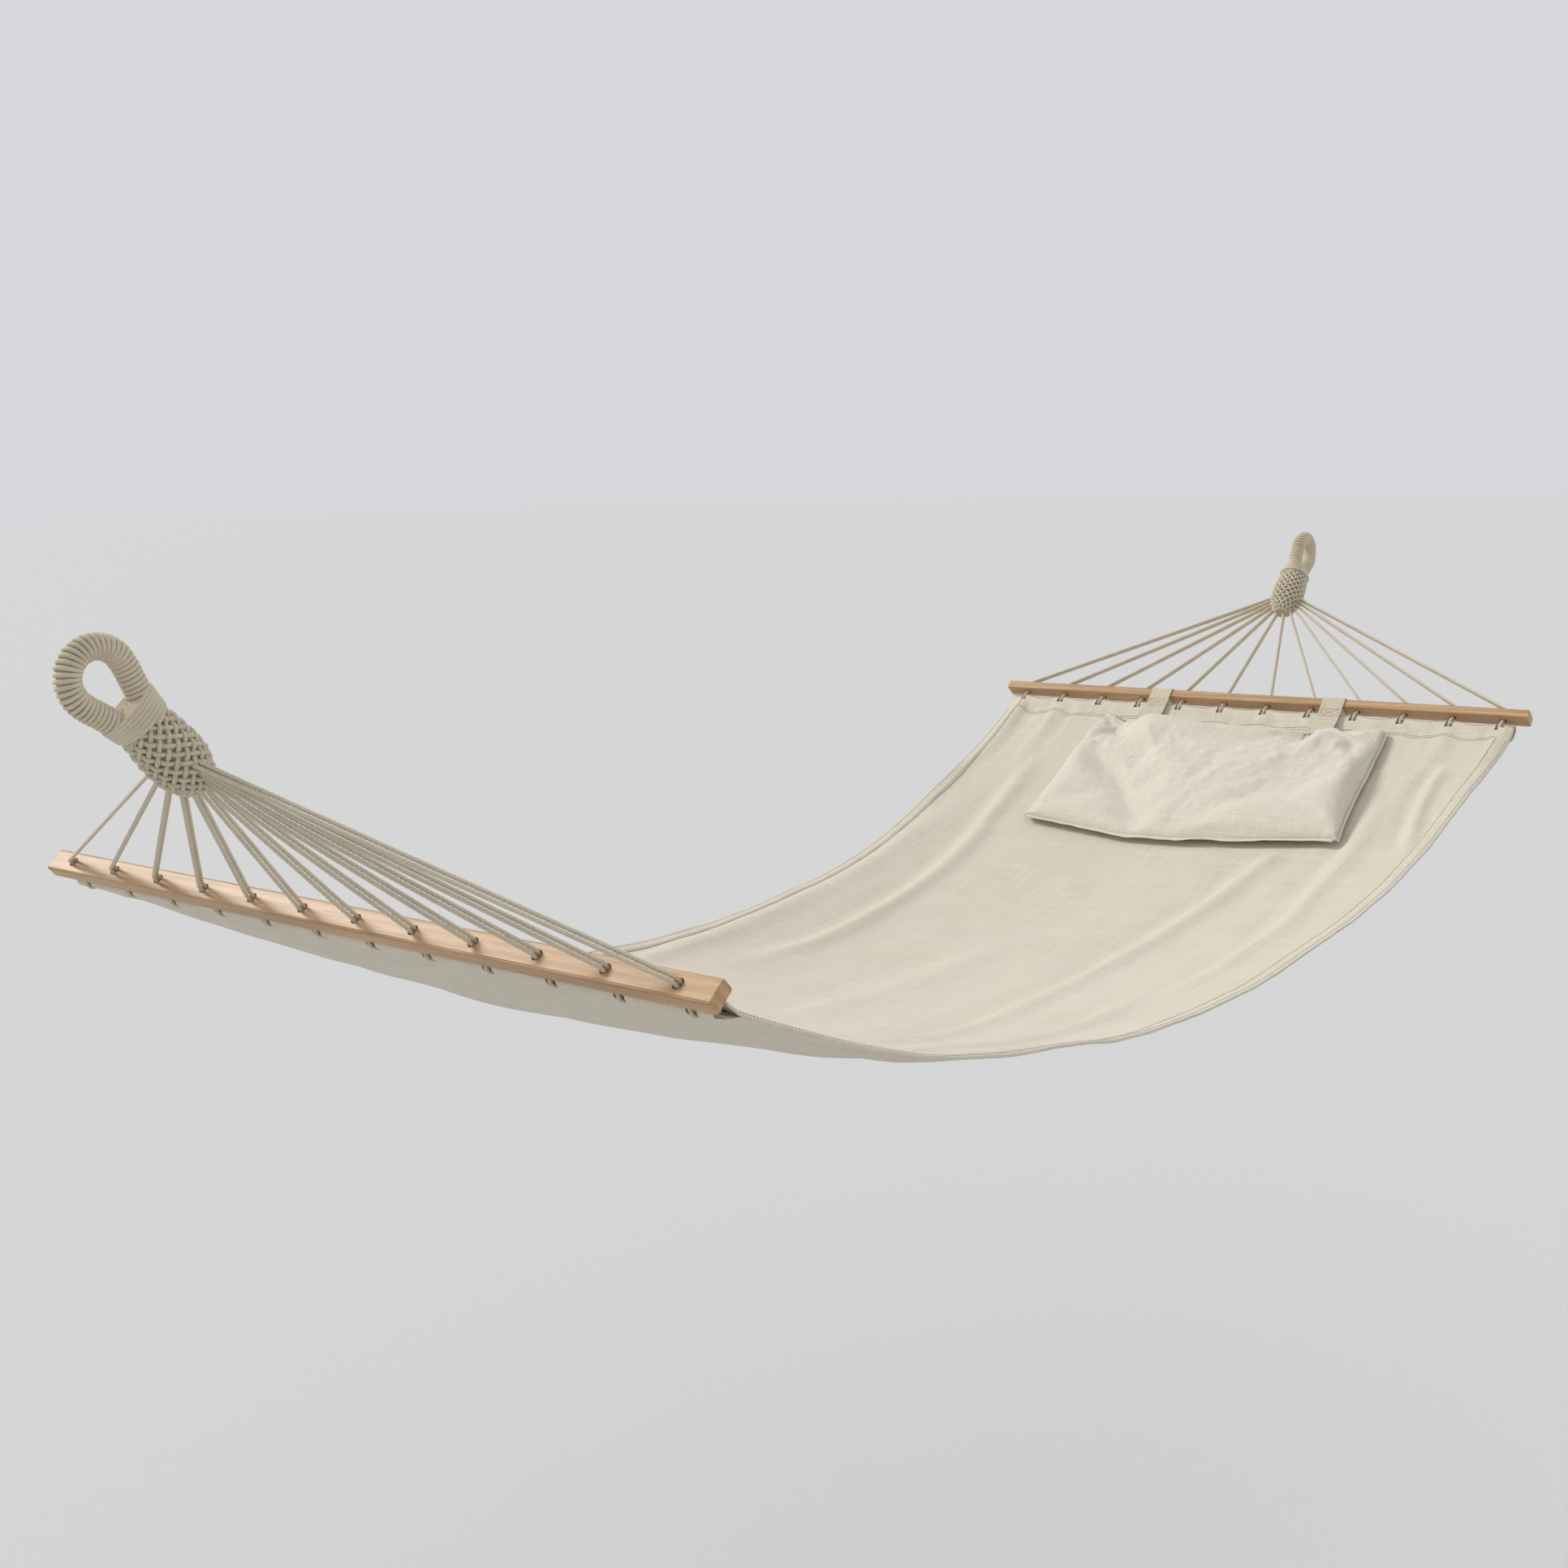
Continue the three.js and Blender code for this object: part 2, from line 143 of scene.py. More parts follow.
def hole_y(i):
    return ((HOLE_COUNT - 1) / 2 - i) * HOLE_PITCH


# ---- Camera ----
CAMERA_FROM_MIDDLE = Vector((-2.0455, -1.4131, 0.3952))
CAMERA_YAW = math.radians(39.07)
CAMERA_PITCH = math.radians(9.16)
CAMERA_ROLL = math.radians(-1.28)
CAMERA_LENS = 43.0


def make_camera():
    camera = bpy.data.objects.new("camera", bpy.data.cameras.new("camera"))
    bpy.context.scene.collection.objects.link(camera)
    forward = Vector((math.cos(CAMERA_YAW) * math.cos(CAMERA_PITCH),
                      math.sin(CAMERA_YAW) * math.cos(CAMERA_PITCH), -math.sin(CAMERA_PITCH)))
    level = Vector((math.sin(CAMERA_YAW), -math.cos(CAMERA_YAW), 0))
    upright = level.cross(forward)
    right = math.cos(CAMERA_ROLL) * level + math.sin(CAMERA_ROLL) * upright
    up = -math.sin(CAMERA_ROLL) * level + math.cos(CAMERA_ROLL) * upright
    camera.matrix_world = Matrix((right, up, -forward)).transposed().to_4x4()
    camera.location = Vector((MID_X, 0, BAR_Z)) + CAMERA_FROM_MIDDLE
    camera.data.lens = CAMERA_LENS
    camera.data.clip_start = 0.05
    camera.data.clip_end = 200
    bpy.context.scene.camera = camera


# ---- Node helpers ----
class Nodes:
    """Short calls for building one material's nodes."""

    def __init__(self, name, **sockets):
        self.material = bpy.data.materials.new(name)
        self.material.use_nodes = True
        self.tree = self.material.node_tree
        self.shader = self.tree.nodes["Principled BSDF"]
        for key, value in sockets.items():
            self.shader.inputs[key.replace("_", " ")].default_value = value
        coordinates = self.tree.nodes.new("ShaderNodeTexCoord")
        self.object = coordinates.outputs["Object"]

    def link(self, value, socket):
        if isinstance(value, (int, float, tuple)):
            socket.default_value = value
        else:
            self.tree.links.new(value, socket)

    def mapped(self, scale):
        node = self.tree.nodes.new("ShaderNodeMapping")
        self.link(self.object, node.inputs["Vector"])
        node.inputs["Scale"].default_value = scale
        return node.outputs["Vector"]

    def noise(self, vector, scale, detail=3.0, roughness=0.55, distortion=0.0):
        node = self.tree.nodes.new("ShaderNodeTexNoise")
        self.link(vector, node.inputs["Vector"])
        node.inputs["Scale"].default_value = scale
        node.inputs["Detail"].default_value = detail
        node.inputs["Roughness"].default_value = roughness
        node.inputs["Distortion"].default_value = distortion
        return node.outputs["Fac"]

    def wave(self, vector, scale, direction, distortion=0.0, detail=0.0):
        node = self.tree.nodes.new("ShaderNodeTexWave")
        node.bands_direction = direction
        self.link(vector, node.inputs["Vector"])
        node.inputs["Scale"].default_value = scale
        node.inputs["Distortion"].default_value = distortion
        node.inputs["Detail"].default_value = detail
        return node.outputs["Fac"]

    def math(self, operation, a, b=0.0):
        node = self.tree.nodes.new("ShaderNodeMath")
        node.operation = operation
        self.link(a, node.inputs[0])
        self.link(b, node.inputs[1])
        return node.outputs[0]

    def span(self, value, low, high, start=0.3, stop=0.7):
        node = self.tree.nodes.new("ShaderNodeMapRange")
        self.link(value, node.inputs["Value"])
        for key, number in (("From Min", start), ("From Max", stop), ("To Min", low), ("To Max", high)):
            node.inputs[key].default_value = number
        return node.outputs["Result"]

    def blend(self, factor, a, b):
        node = self.tree.nodes.new("ShaderNodeMix")
        node.data_type = "RGBA"
        self.link(factor, node.inputs["Factor"])
        for key, value in (("A", a), ("B", b)):
            sockets = [s for s in node.inputs if s.name == key and s.type == "RGBA"]
            self.link((*value, 1.0) if isinstance(value, tuple) else value, sockets[0])
        return next(s for s in node.outputs if s.type == "RGBA")

    def bump(self, layers):
        """Stacks (height, distance in metres, strength) layers into one normal."""
        normal = None
        for height, distance, strength in layers:
            node = self.tree.nodes.new("ShaderNodeBump")
            self.link(height, node.inputs["Height"])
            node.inputs["Distance"].default_value = distance
            node.inputs["Strength"].default_value = strength
            if normal is not None:
                self.link(normal, node.inputs["Normal"])
            normal = node.outputs["Normal"]
        self.link(normal, self.shader.inputs["Normal"])

    def paint(self, colour, roughness):
        self.link(colour, self.shader.inputs["Base Color"])
        self.link(roughness, self.shader.inputs["Roughness"])
        return self.material


# ---- Materials ----
def cloth_material(name, light, dark, thread):
    """Plain-weave cotton: crossed threads with painted shade in the gaps between them, slubs along both yarns
    and soft uneven tone.
    """
    n = Nodes(name, Sheen_Weight=0.25, Sheen_Roughness=0.5, Specular_IOR_Level=0.25)
    warp = n.wave(n.object, 1 / (2 * thread * 3.2), "X", 0.6, 1.0)
    weft = n.wave(n.object, 1 / (2 * thread * 3.2), "Y", 0.6, 1.0)
    weave = n.math("ADD", n.math("MULTIPLY", warp, weft), n.math("MULTIPLY", 0.5, n.math("ADD", warp, weft)))
    slub_x = n.noise(n.mapped((9.0, 520.0, 40.0)), 1.0, 2.0)
    slub_y = n.noise(n.mapped((520.0, 9.0, 40.0)), 1.0, 2.0)
    slubs = n.math("MULTIPLY", n.math("ADD", slub_x, slub_y), 0.5)
    mottle = n.noise(n.object, 7.0, 4.0, 0.6)
    colour = n.blend(n.span(slubs, 0.0, 1.0, 0.38, 0.62), dark, light)
    colour = n.blend(n.span(mottle, 0.0, 0.35, 0.35, 0.7), colour, tuple(0.93 * c for c in light))
    # painted shade: the cloth is darkened where the threads dip, in the gaps of the weave
    colour = n.blend(n.span(weave, 0.16, 0.0, 0.2, 1.2), colour, tuple(0.72 * c for c in dark))
    wrinkle = n.noise(n.object, 38.0, 5.0, 0.6, 0.4)
    n.bump([(wrinkle, 0.0018, 0.5), (slubs, 0.0005, 0.55), (weave, 0.00035, 0.6)])
    return n.paint(colour, n.span(slubs, 0.80, 0.92))


def rope_material(name, light, dark):
    """Cotton yarn: fine fibres and a slightly darker, dustier tone in patches."""
    n = Nodes(name, Sheen_Weight=0.2, Sheen_Roughness=0.5, Specular_IOR_Level=0.2)
    fibre = n.noise(n.object, 1400.0, 3.0, 0.7)
    patch = n.noise(n.object, 35.0, 3.0, 0.6)
    colour = n.blend(n.span(fibre, 0.0, 1.0, 0.3, 0.65), dark, light)
    colour = n.blend(n.span(patch, 0.0, 0.4, 0.45, 0.75), colour, dark)
    n.bump([(patch, 0.0006, 0.3), (fibre, 0.0005, 0.7)])
    return n.paint(colour, n.span(fibre, 0.78, 0.95))


def wood_material():
    """Oiled hardwood with the grain along the bar."""
    n = Nodes("oiled_wood", Specular_IOR_Level=0.4, Coat_Weight=0.12, Coat_Roughness=0.35)
    board = n.mapped((30.0, 1.6, 30.0))
    figure = n.noise(board, 1.6, 4.0, 0.6, 1.4)
    rings = n.wave(n.mapped((34.0, 1.1, 34.0)), 1.3, "DIAGONAL", 5.0, 3.0)
    pores = n.noise(n.mapped((900.0, 26.0, 900.0)), 1.0, 2.0, 0.6)
    colour = n.blend(n.span(figure, 0.0, 1.0, 0.3, 0.7), (0.42, 0.245, 0.115), (0.60, 0.395, 0.205))
    colour = n.blend(n.span(rings, 0.0, 0.38, 0.25, 0.9), colour, (0.31, 0.165, 0.07))
    colour = n.blend(n.span(pores, 0.42, 0.0, 0.30, 0.46), colour, (0.20, 0.10, 0.045))
    n.bump([(rings, 0.0004, 0.25), (pores, 0.0004, 0.5)])
    return n.paint(colour, n.span(figure, 0.42, 0.56))


CANVAS = cloth_material("canvas_cloth", (0.725, 0.670, 0.560), (0.615, 0.552, 0.435), 0.0009)
PILLOW = cloth_material("pillow_cloth", (0.755, 0.710, 0.610), (0.655, 0.600, 0.490), 0.0008)
WEBBING = cloth_material("strap_webbing", (0.655, 0.590, 0.470), (0.545, 0.470, 0.350), 0.0013)
CORD = rope_material("laid_cord", (0.76, 0.69, 0.55), (0.52, 0.44, 0.31))
WHIPPING = rope_material("whipping_cord", (0.73, 0.655, 0.51), (0.49, 0.41, 0.28))
ROPE = rope_material("core_rope", (0.60, 0.52, 0.39), (0.40, 0.33, 0.22))
THREAD = rope_material("sewing_thread", (0.62, 0.55, 0.42), (0.50, 0.43, 0.31))
WOOD = wood_material()


# ---- Mesh helpers ----
def mesh_object(name, points, faces, material):
    mesh = bpy.data.meshes.new(name)
    mesh.from_pydata([tuple(p) for p in points], [], [tuple(int(i) for i in f) for f in faces])
    mesh.validate()
    mesh.materials.append(material)
    mesh.polygons.foreach_set("use_smooth", np.ones(len(mesh.polygons), bool))
    piece = bpy.data.objects.new(name, mesh)
    bpy.context.scene.collection.objects.link(piece)
    return piece


def joined(parts):
    """One list of points and faces from several (points, faces) pairs."""
    points, faces, start = [], [], 0
    for p, f in parts:
        points.append(np.asarray(p, float))
        faces += [tuple(i + start for i in face) for face in f]
        start += len(p)
    return np.concatenate(points), faces


def grid_faces(rows, columns, turned=False):
    """Quads over a grid of points stored row by row; turned faces them the other way."""
    order = (0, columns, columns + 1, 1) if turned else (0, 1, columns + 1, columns)
    return [tuple(i * columns + j + k for k in order)
            for i in range(rows - 1) for j in range(columns - 1)]


def closed_faces(rings, sides):
    """Quads between rings of points, with a face over each end."""
    faces = [(i * sides + j, i * sides + (j + 1) % sides,
              (i + 1) * sides + (j + 1) % sides, (i + 1) * sides + j)
             for i in range(rings - 1) for j in range(sides)]
    return faces + [tuple(range(sides - 1, -1, -1)), tuple(range((rings - 1) * sides, rings * sides))]


def distances(line):
    """How far along the line each of its points is."""
    return np.concatenate([[0], np.cumsum(np.linalg.norm(np.diff(line, axis=0), axis=1))])


def at_distances(values, along, at):
    """One 3-vector for each distance in at, from the values given at the distances along."""
    return np.stack([np.interp(at, along, values[:, k]) for k in range(3)], axis=1)


def resampled(line, step):
    line = np.asarray(line, float)
    along = distances(line)
    at = np.linspace(0, along[-1], max(2, int(math.ceil(along[-1] / step)) + 1))
    return at_distances(line, along, at)


def evenly_split(line, count):
    """The line as count points, evenly spaced."""
    along = distances(line)
    return at_distances(line, along, np.linspace(0, along[-1], count))


def carried_frames(line):
    """Two side vectors at each point, carried along without spinning."""
    tangent = np.gradient(line, axis=0)
    tangent /= np.linalg.norm(tangent, axis=1)[:, None]
    helper = np.array([0.0, 0.0, 1.0]) if abs(tangent[0, 2]) < 0.9 else np.array([0.0, 1.0, 0.0])
    side = np.cross(tangent[0], helper)
    sides = []
    for t in tangent:
        side = side - t * (side @ t)
        side /= np.linalg.norm(side)
        sides.append(side)
    sides = np.array(sides)
    return sides, np.cross(tangent, sides)


def tube(line, radius, sides=10, lay=None, lobes=3, groove=0.0, start_angle=0.0):
    """A closed tube. With lay, the metres per turn, its lobes wind round like laid strands."""
    line = np.asarray(line, float)
    a, b = carried_frames(line)
    along = distances(line)
    turn = start_angle + (2 * math.pi * along / lay if lay else 0 * along)
    angle = 2 * math.pi * np.arange(sides) / sides
    bulge = 1 - groove * (1 - np.abs(np.cos(lobes * angle / 2)) ** 0.7)
    theta = angle[None, :] + turn[:, None]
    radii = np.broadcast_to(np.asarray(radius, float).reshape(-1, 1), (len(line), 1))
    ring = np.cos(theta)[..., None] * a[:, None] + np.sin(theta)[..., None] * b[:, None]
    ring = ring * bulge[None, :, None]
    points = (line[:, None] + ring * radii[..., None]).reshape(-1, 3)
    return points, closed_faces(len(line), sides)


def arc(centre, radius, start, stop, steps):
    """Points on an arc in the plane of the first two coordinates, angles in radians."""
    angle = np.linspace(start, stop, steps)
    return np.stack([centre[0] + radius * np.cos(angle), centre[1] + radius * np.sin(angle)], axis=1)


def laid_rope(line, radius, lay_diameters=3.6, sides=12):
    lay = lay_diameters * 2 * radius
    return tube(resampled(line, lay / 10), radius, sides, lay, 3, 0.30)


# ---- Suspension cords ----
CORD_BEND_RADIUS = 0.0082


def rounded(points, radius):
    """A polyline whose corners are replaced by arcs of one radius, or less where there is no room."""
    points = [np.asarray(p, float) for p in points]
    line = [points[0]]
    for before, corner, after in zip(points, points[1:], points[2:]):
        a, b = before - corner, after - corner
        la, lb = np.linalg.norm(a), np.linalg.norm(b)
        a, b = a / la, b / lb
        half = math.acos(max(-1.0, min(1.0, float(-a @ b)))) / 2
        if half < 1e-3:
            line.append(corner)
            continue
        leg = min(radius * math.tan(half), 0.48 * la, 0.48 * lb)
        r = leg / math.tan(half)
        toward = (a + b) / np.linalg.norm(a + b)
        centre = corner + toward * r / math.cos(half)
        for s in np.linspace(-half, half, max(3, int(half * 16))):
            line.append(centre - toward * r * math.cos(s) + (b - a) / np.linalg.norm(b - a) * r * math.sin(s))
    return line + [points[-1]]


def cord_route(i):
    """The doubled cord's centre line in its end's frame, from the knot round the hem rope and back."""
    y = hole_y(i)
    entry = -(2 * i / (HOLE_COUNT - 1) - 1) * FAN_HALF_ANGLE
    in_knot = np.array([KNOT_CENTRE - FAN_RADIUS * math.cos(entry), FAN_RADIUS * math.sin(entry)])
    mouth = np.array([BAR_THICKNESS / 2 + 0.0052, y])
    run = (in_knot - mouth) / np.linalg.norm(in_knot - mouth)
    start = in_knot + run * 0.008
    radius = HEM_ROPE_RADIUS + TOUCH_GAP + CORD_RADIUS
    leave = -BAR_THICKNESS / 2 + 0.001
    reach = math.hypot(HEM_DROP + leave, STRAND_OFFSET)
    touch = math.atan2(STRAND_OFFSET, HEM_DROP + leave) + math.acos(radius / reach)
    down = [(start[0], start[1], STRAND_OFFSET), (mouth[0], y, STRAND_OFFSET), (leave, y, STRAND_OFFSET)]
    bight = [(p[0], y, p[1]) for p in arc((-HEM_DROP, 0), radius, touch, 2 * math.pi - touch, 25)]
    back = [(x, y_, -z) for x, y_, z in reversed(down)]
    return np.array(rounded(down + bight[:2], CORD_BEND_RADIUS)[:-1] + bight[1:-1]
                    + rounded(bight[-2:] + back, CORD_BEND_RADIUS)[1:])


def make_cords(end):
    for i in range(HOLE_COUNT):
        line = resampled(end.place(cord_route(i)), 0.0016)
        name = f"{end.label}_cord_{i + 1:02d}"
        points, faces = tube(line, 1.08 * CORD_RADIUS, 12, 0.0155, 3, 0.26, start_angle=i * 0.7)
        piece = mesh_object(name + "_laid", points, faces, CORD)
        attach(piece, "bed")
        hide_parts(name)


# ---- Spreader bars ----
def cutter(location, radius, depth, rotation):
    bpy.ops.mesh.primitive_cylinder_add(vertices=32, radius=radius, depth=depth)
    tool = bpy.context.object
    tool.matrix_world = Matrix.Translation(Vector(location)) @ rotation
    return tool


def make_bar(end):
    """A rounded bar with drilled holes whose mouths are eased."""
    bm = bmesh.new()
    bmesh.ops.create_cube(bm, size=1.0)
    bmesh.ops.scale(bm, vec=(BAR_THICKNESS, BAR_LENGTH, BAR_WIDTH), verts=bm.verts)
    long_edges = [e for e in bm.edges if abs((e.verts[0].co - e.verts[1].co).y) > BAR_LENGTH / 2]
    bmesh.ops.bevel(bm, geom=long_edges, offset=0.003, segments=4, affect="EDGES", profile=0.6)
    rim = [e for e in bm.edges if all(abs(v.co.y) > BAR_LENGTH / 2 - 1e-6 for v in e.verts)]
    bmesh.ops.bevel(bm, geom=rim, offset=0.0012, segments=2, affect="EDGES", profile=0.6)
    mesh = bpy.data.meshes.new(f"{end.label}_bar_wood")
    bm.to_mesh(mesh)
    bm.free()
    bar = bpy.data.objects.new(f"{end.label}_bar_wood", mesh)
    bpy.context.scene.collection.objects.link(bar)
    along_x = Matrix.Rotation(math.pi / 2, 4, "Y")
    tools = []
    for i in range(HOLE_COUNT):
        tools.append(cutter((0, hole_y(i), 0), HOLE_RADIUS, 4 * BAR_THICKNESS, along_x))
    bpy.ops.object.select_all(action="DESELECT")
    for tool in tools:
        tool.select_set(True)
    bpy.context.view_layer.objects.active = tools[0]
    bpy.ops.object.join()
    drill = bpy.context.object
    cut = bar.modifiers.new("holes", "BOOLEAN")
    cut.object = drill
    cut.solver = "EXACT"
    ease = bar.modifiers.new("eased", "BEVEL")
    ease.width = 0.0007
    ease.segments = 2
    ease.limit_method = "ANGLE"
    ease.angle_limit = math.radians(50)
    bar.modifiers.new("even", "WEIGHTED_NORMAL").keep_sharp = True
    bar.data.polygons.foreach_set("use_smooth", np.ones(len(bar.data.polygons), bool))
    apply_modifiers(bar)
    bpy.data.objects.remove(drill)
    points = end.place([tuple(v.co) for v in bar.data.vertices])
    for vertex, point in zip(bar.data.vertices, points):
        vertex.co = point
    bar.data.materials.append(WOOD)
    smooth_by_angle(bar, 28)
    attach(bar, "bed")
    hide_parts(f"{end.label}_spreader_bar")


def apply_modifiers(piece):
    graph = bpy.context.evaluated_depsgraph_get()
    mesh = bpy.data.meshes.new_from_object(piece.evaluated_get(graph))
    piece.modifiers.clear()
    piece.data = mesh


# ---- Knots and eyes ----
# Distance from the knot's centre along the harness, and radius there, in millimetres.
KNOT_OUTLINE = np.array([(-44, 0), (-42, 11), (-36, 18), (-30, 22), (-14, 28),
                         (3, 29), (22, 27.5), (40, 25), (60, 24)]) / 1000
KNOT_STRANDS = 14  # in each of the two families
KNOT_WIND = 3.5  # radians that a strand goes round from end to end
KNOT_WEAVE = 0.0013  # how far a strand rises and dips at a crossing
CORE_RINGS, CORE_SIDES = 22, 40


def knot_radius(x):
    return np.interp(x - KNOT_CENTRE, KNOT_OUTLINE[:, 0], KNOT_OUTLINE[:, 1])


def knot_points(x, angle, radius):
    return np.stack([x, radius * np.cos(angle), radius * np.sin(angle)], axis=1)


def make_knot(end):
    """Two families of strands that cross over and under round an egg-shaped core."""
    low, high = KNOT_CENTRE - 0.041, EYE_THROAT - 0.001
    x = np.linspace(low, high, 130)
    share = (x - low) / (high - low)
    cover = []
    for hand in (1, -1):
        for i in range(KNOT_STRANDS):
            angle = 2 * math.pi * i / KNOT_STRANDS + hand * KNOT_WIND * share
            weave = hand * KNOT_WEAVE * np.cos(KNOT_STRANDS * KNOT_WIND * share)
            radius = knot_radius(x) - 0.0036 + weave
            line = end.place(knot_points(x, angle, radius))
            cover.append(laid_rope(line, 0.0024, 3.2, 9))
    piece = mesh_object(f"{end.label}_knot_plait", *joined(cover), CORD)
    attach(piece, "bed")
    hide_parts(f"{end.label}_knot_cover")
    rings = []
    for xi in np.linspace(low - 0.001, high + 0.001, CORE_RINGS):
        angle = np.linspace(0, 2 * math.pi, CORE_SIDES, endpoint=False)
        radius = knot_radius(xi) - 0.0055
        rings.append(end.place(knot_points(np.full(CORE_SIDES, xi), angle, radius)))
    faces = closed_faces(CORE_RINGS, CORE_SIDES)
    core = mesh_object(f"{end.label}_knot_bundle", np.concatenate(rings), faces, ROPE)
    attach(core, "bed")
    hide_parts(f"{end.label}_knot_core")


SERVED_RADIUS = 0.0021  # of the cord wound round the eye and the collar
WINDING_STEPS = 22  # points in each turn round the eye
COLLAR_STEPS = 60  # points in each turn of the collar
COLLAR_TURNS = 6
CLOSING_TURNS = 4  # of the flat spiral that fills the mouth between the legs
COLLAR_LENGTH = 0.018  # along the harness, from just inside the knot's top
COLLAR_ROUND = 0.0246  # its first turn, on the knot
COLLAR_ACROSS = 0.0138  # its last turn, across the pair of legs
COLLAR_UPRIGHT = 0.0290  # and along them
BLEND_SHIFT = 0.004  # moves the eye's bearing and throat points towards the bar


def eye_route():
    """The upright loop's centre line in its end's frame, from leg to leg."""
    centre = EYE_BEARING + WHIPPING_RADIUS - EYE_BEND_RADIUS
    bend = arc((centre, 0), EYE_BEND_RADIUS, math.radians(105), math.radians(-105), 49)
    leg = np.array([(EYE_THROAT - 0.012, EYE_LEG_OFFSET), (EYE_THROAT, EYE_LEG_OFFSET),
                    (EYE_THROAT + 0.016, 0.018)])
    plan = np.concatenate([leg, bend, leg[::-1] * (1, -1)])
    route = resampled(np.stack([plan[:, 0], 0 * plan[:, 0], plan[:, 1]], axis=1), 0.001)
    for _ in range(40):
        route[1:-1] = (route[:-2] + route[2:] + 2 * route[1:-1]) / 4
    return route


def make_eye(end):
    """A rope loop served with tightly wound cord."""
    route = end.place(eye_route())
    pitch = 2.05 * SERVED_RADIUS
    fine = resampled(route, pitch / WINDING_STEPS)
    a, b = carried_frames(fine)
    angle = 2 * math.pi * np.arange(len(fine)) / WINDING_STEPS
    wobble = 1 + 0.012 * np.sin(0.37 * angle) + 0.008 * np.sin(1.3 * angle + 1)
    around = np.cos(angle)[:, None] * a + np.sin(angle)[:, None] * b
    around = around * ((WHIPPING_RADIUS - SERVED_RADIUS) * wobble)[:, None]
    winding = tube(fine + around, SERVED_RADIUS, 8)
    winding = mesh_object(f"{end.label}_eye_winding", *winding, WHIPPING)
    core = tube(route, WHIPPING_RADIUS - 1.5 * SERVED_RADIUS, 20)
    core = mesh_object(f"{end.label}_eye_core", *core, ROPE)
    bearing = tuple(end.place((EYE_BEARING - BLEND_SHIFT, 0, 0))[0])
    throat = tuple(end.place((EYE_THROAT + COLLAR_LENGTH - BLEND_SHIFT, 0, 0))[0])
    bodies, stretch = (f"{end.label}_eye", "bed"), (bearing, throat)
    if end.label == "foot":
        bodies, stretch = bodies[::-1], stretch[::-1]
    for piece, node, slot in ((winding, "whipping", "whipping"), (core, "rope", "rope_core")):
        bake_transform(piece)
        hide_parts(f"{end.label}_eye_{node}")
    make_collar(end)


def make_collar(end):
    """Cord wound from the round top of the knot in to the pair of legs, then closed between them."""
    turns = COLLAR_TURNS + CLOSING_TURNS
    angle = np.linspace(0, 2 * math.pi * turns, COLLAR_STEPS * turns)
    turn = angle / (2 * math.pi)
    share = np.minimum(turn / COLLAR_TURNS, 1)
    closed = np.maximum(turn - COLLAR_TURNS, 0) / CLOSING_TURNS
    across = (COLLAR_ROUND + (COLLAR_ACROSS - COLLAR_ROUND) * share) * (1 - closed)
    upright = (COLLAR_ROUND + (COLLAR_UPRIGHT - COLLAR_ROUND) * share) * (1 - closed)
    line = np.stack([EYE_THROAT - 0.005 + COLLAR_LENGTH * share,
                     across * np.cos(angle), upright * np.sin(angle)], axis=1)
    piece = mesh_object(f"{end.label}_knot_collar", *tube(end.place(line), SERVED_RADIUS, 10),
                        WHIPPING)
    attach(piece, "bed")


# ---- The bed ----
def half_width(x):
    along = np.minimum(np.abs(x) / HEM_X, 1)
    return MID_HALF_WIDTH + (HEM_HALF_WIDTH - MID_HALF_WIDTH) * along ** 2


def bed_height(x, y):
    """The canvas's middle surface, x from the bed's middle."""
    along = np.minimum(np.abs(x) / HEM_X, 1)
    fall = (SAG + LEAN * y / half_width(x) + (HEM_Z - BAR_Z)) * (1 - along ** SAG_POWER)
    cup = CUP * (1 - (y / half_width(x)) ** 2) * (1 - along ** 2)
    return HEM_Z - fall - cup


def soft_noise(x, y, cell, seed):
    """Smooth random heights from -1 to 1 with features about cell metres across."""
    grid = np.random.default_rng(seed).uniform(-1, 1, (96, 96))
    u, v = x / cell + 48, y / cell + 48
    i, j = np.floor(u).astype(int) % 95, np.floor(v).astype(int) % 95
    s, t = u - np.floor(u), v - np.floor(v)
    s, t = s * s * (3 - 2 * s), t * t * (3 - 2 * t)
    return ((grid[i, j] * (1 - s) + grid[i + 1, j] * s) * (1 - t)
            + (grid[i, j + 1] * (1 - s) + grid[i + 1, j + 1] * s) * t)


def step_up(value, low, high):
    t = np.clip((value - low) / (high - low), 0, 1)
    return t * t * (3 - 2 * t)


# Long folds of the hung cloth: start and end (x from the bed's middle, y), bow, height, width.
FOLDS = (
    ((0.86, 0.34), (-0.10, 0.30), 0.03, 0.010, 0.020),
    ((0.72, 0.40), (-0.35, 0.37), -0.02, 0.007, 0.022),
    ((0.84, -0.29), (-0.05, -0.17), -0.04, 0.010, 0.020),
    ((0.80, -0.31), (-0.02, -0.33), 0.03, 0.008, 0.018),
    ((0.88, -0.39), (0.58, -0.425), -0.012, 0.009, 0.011),
    ((0.12, -0.16), (-0.55, -0.10), 0.03, 0.008, 0.022),
    ((0.08, -0.31), (-0.72, -0.26), 0.02, 0.009, 0.020),
    ((-0.30, 0.12), (-0.84, 0.06), 0.02, 0.006, 0.020),
    ((-0.25, -0.38), (-0.86, -0.40), 0.02, 0.007, 0.014),
    ((0.30, 0.02), (-0.30, 0.06), -0.03, 0.004, 0.030),
)


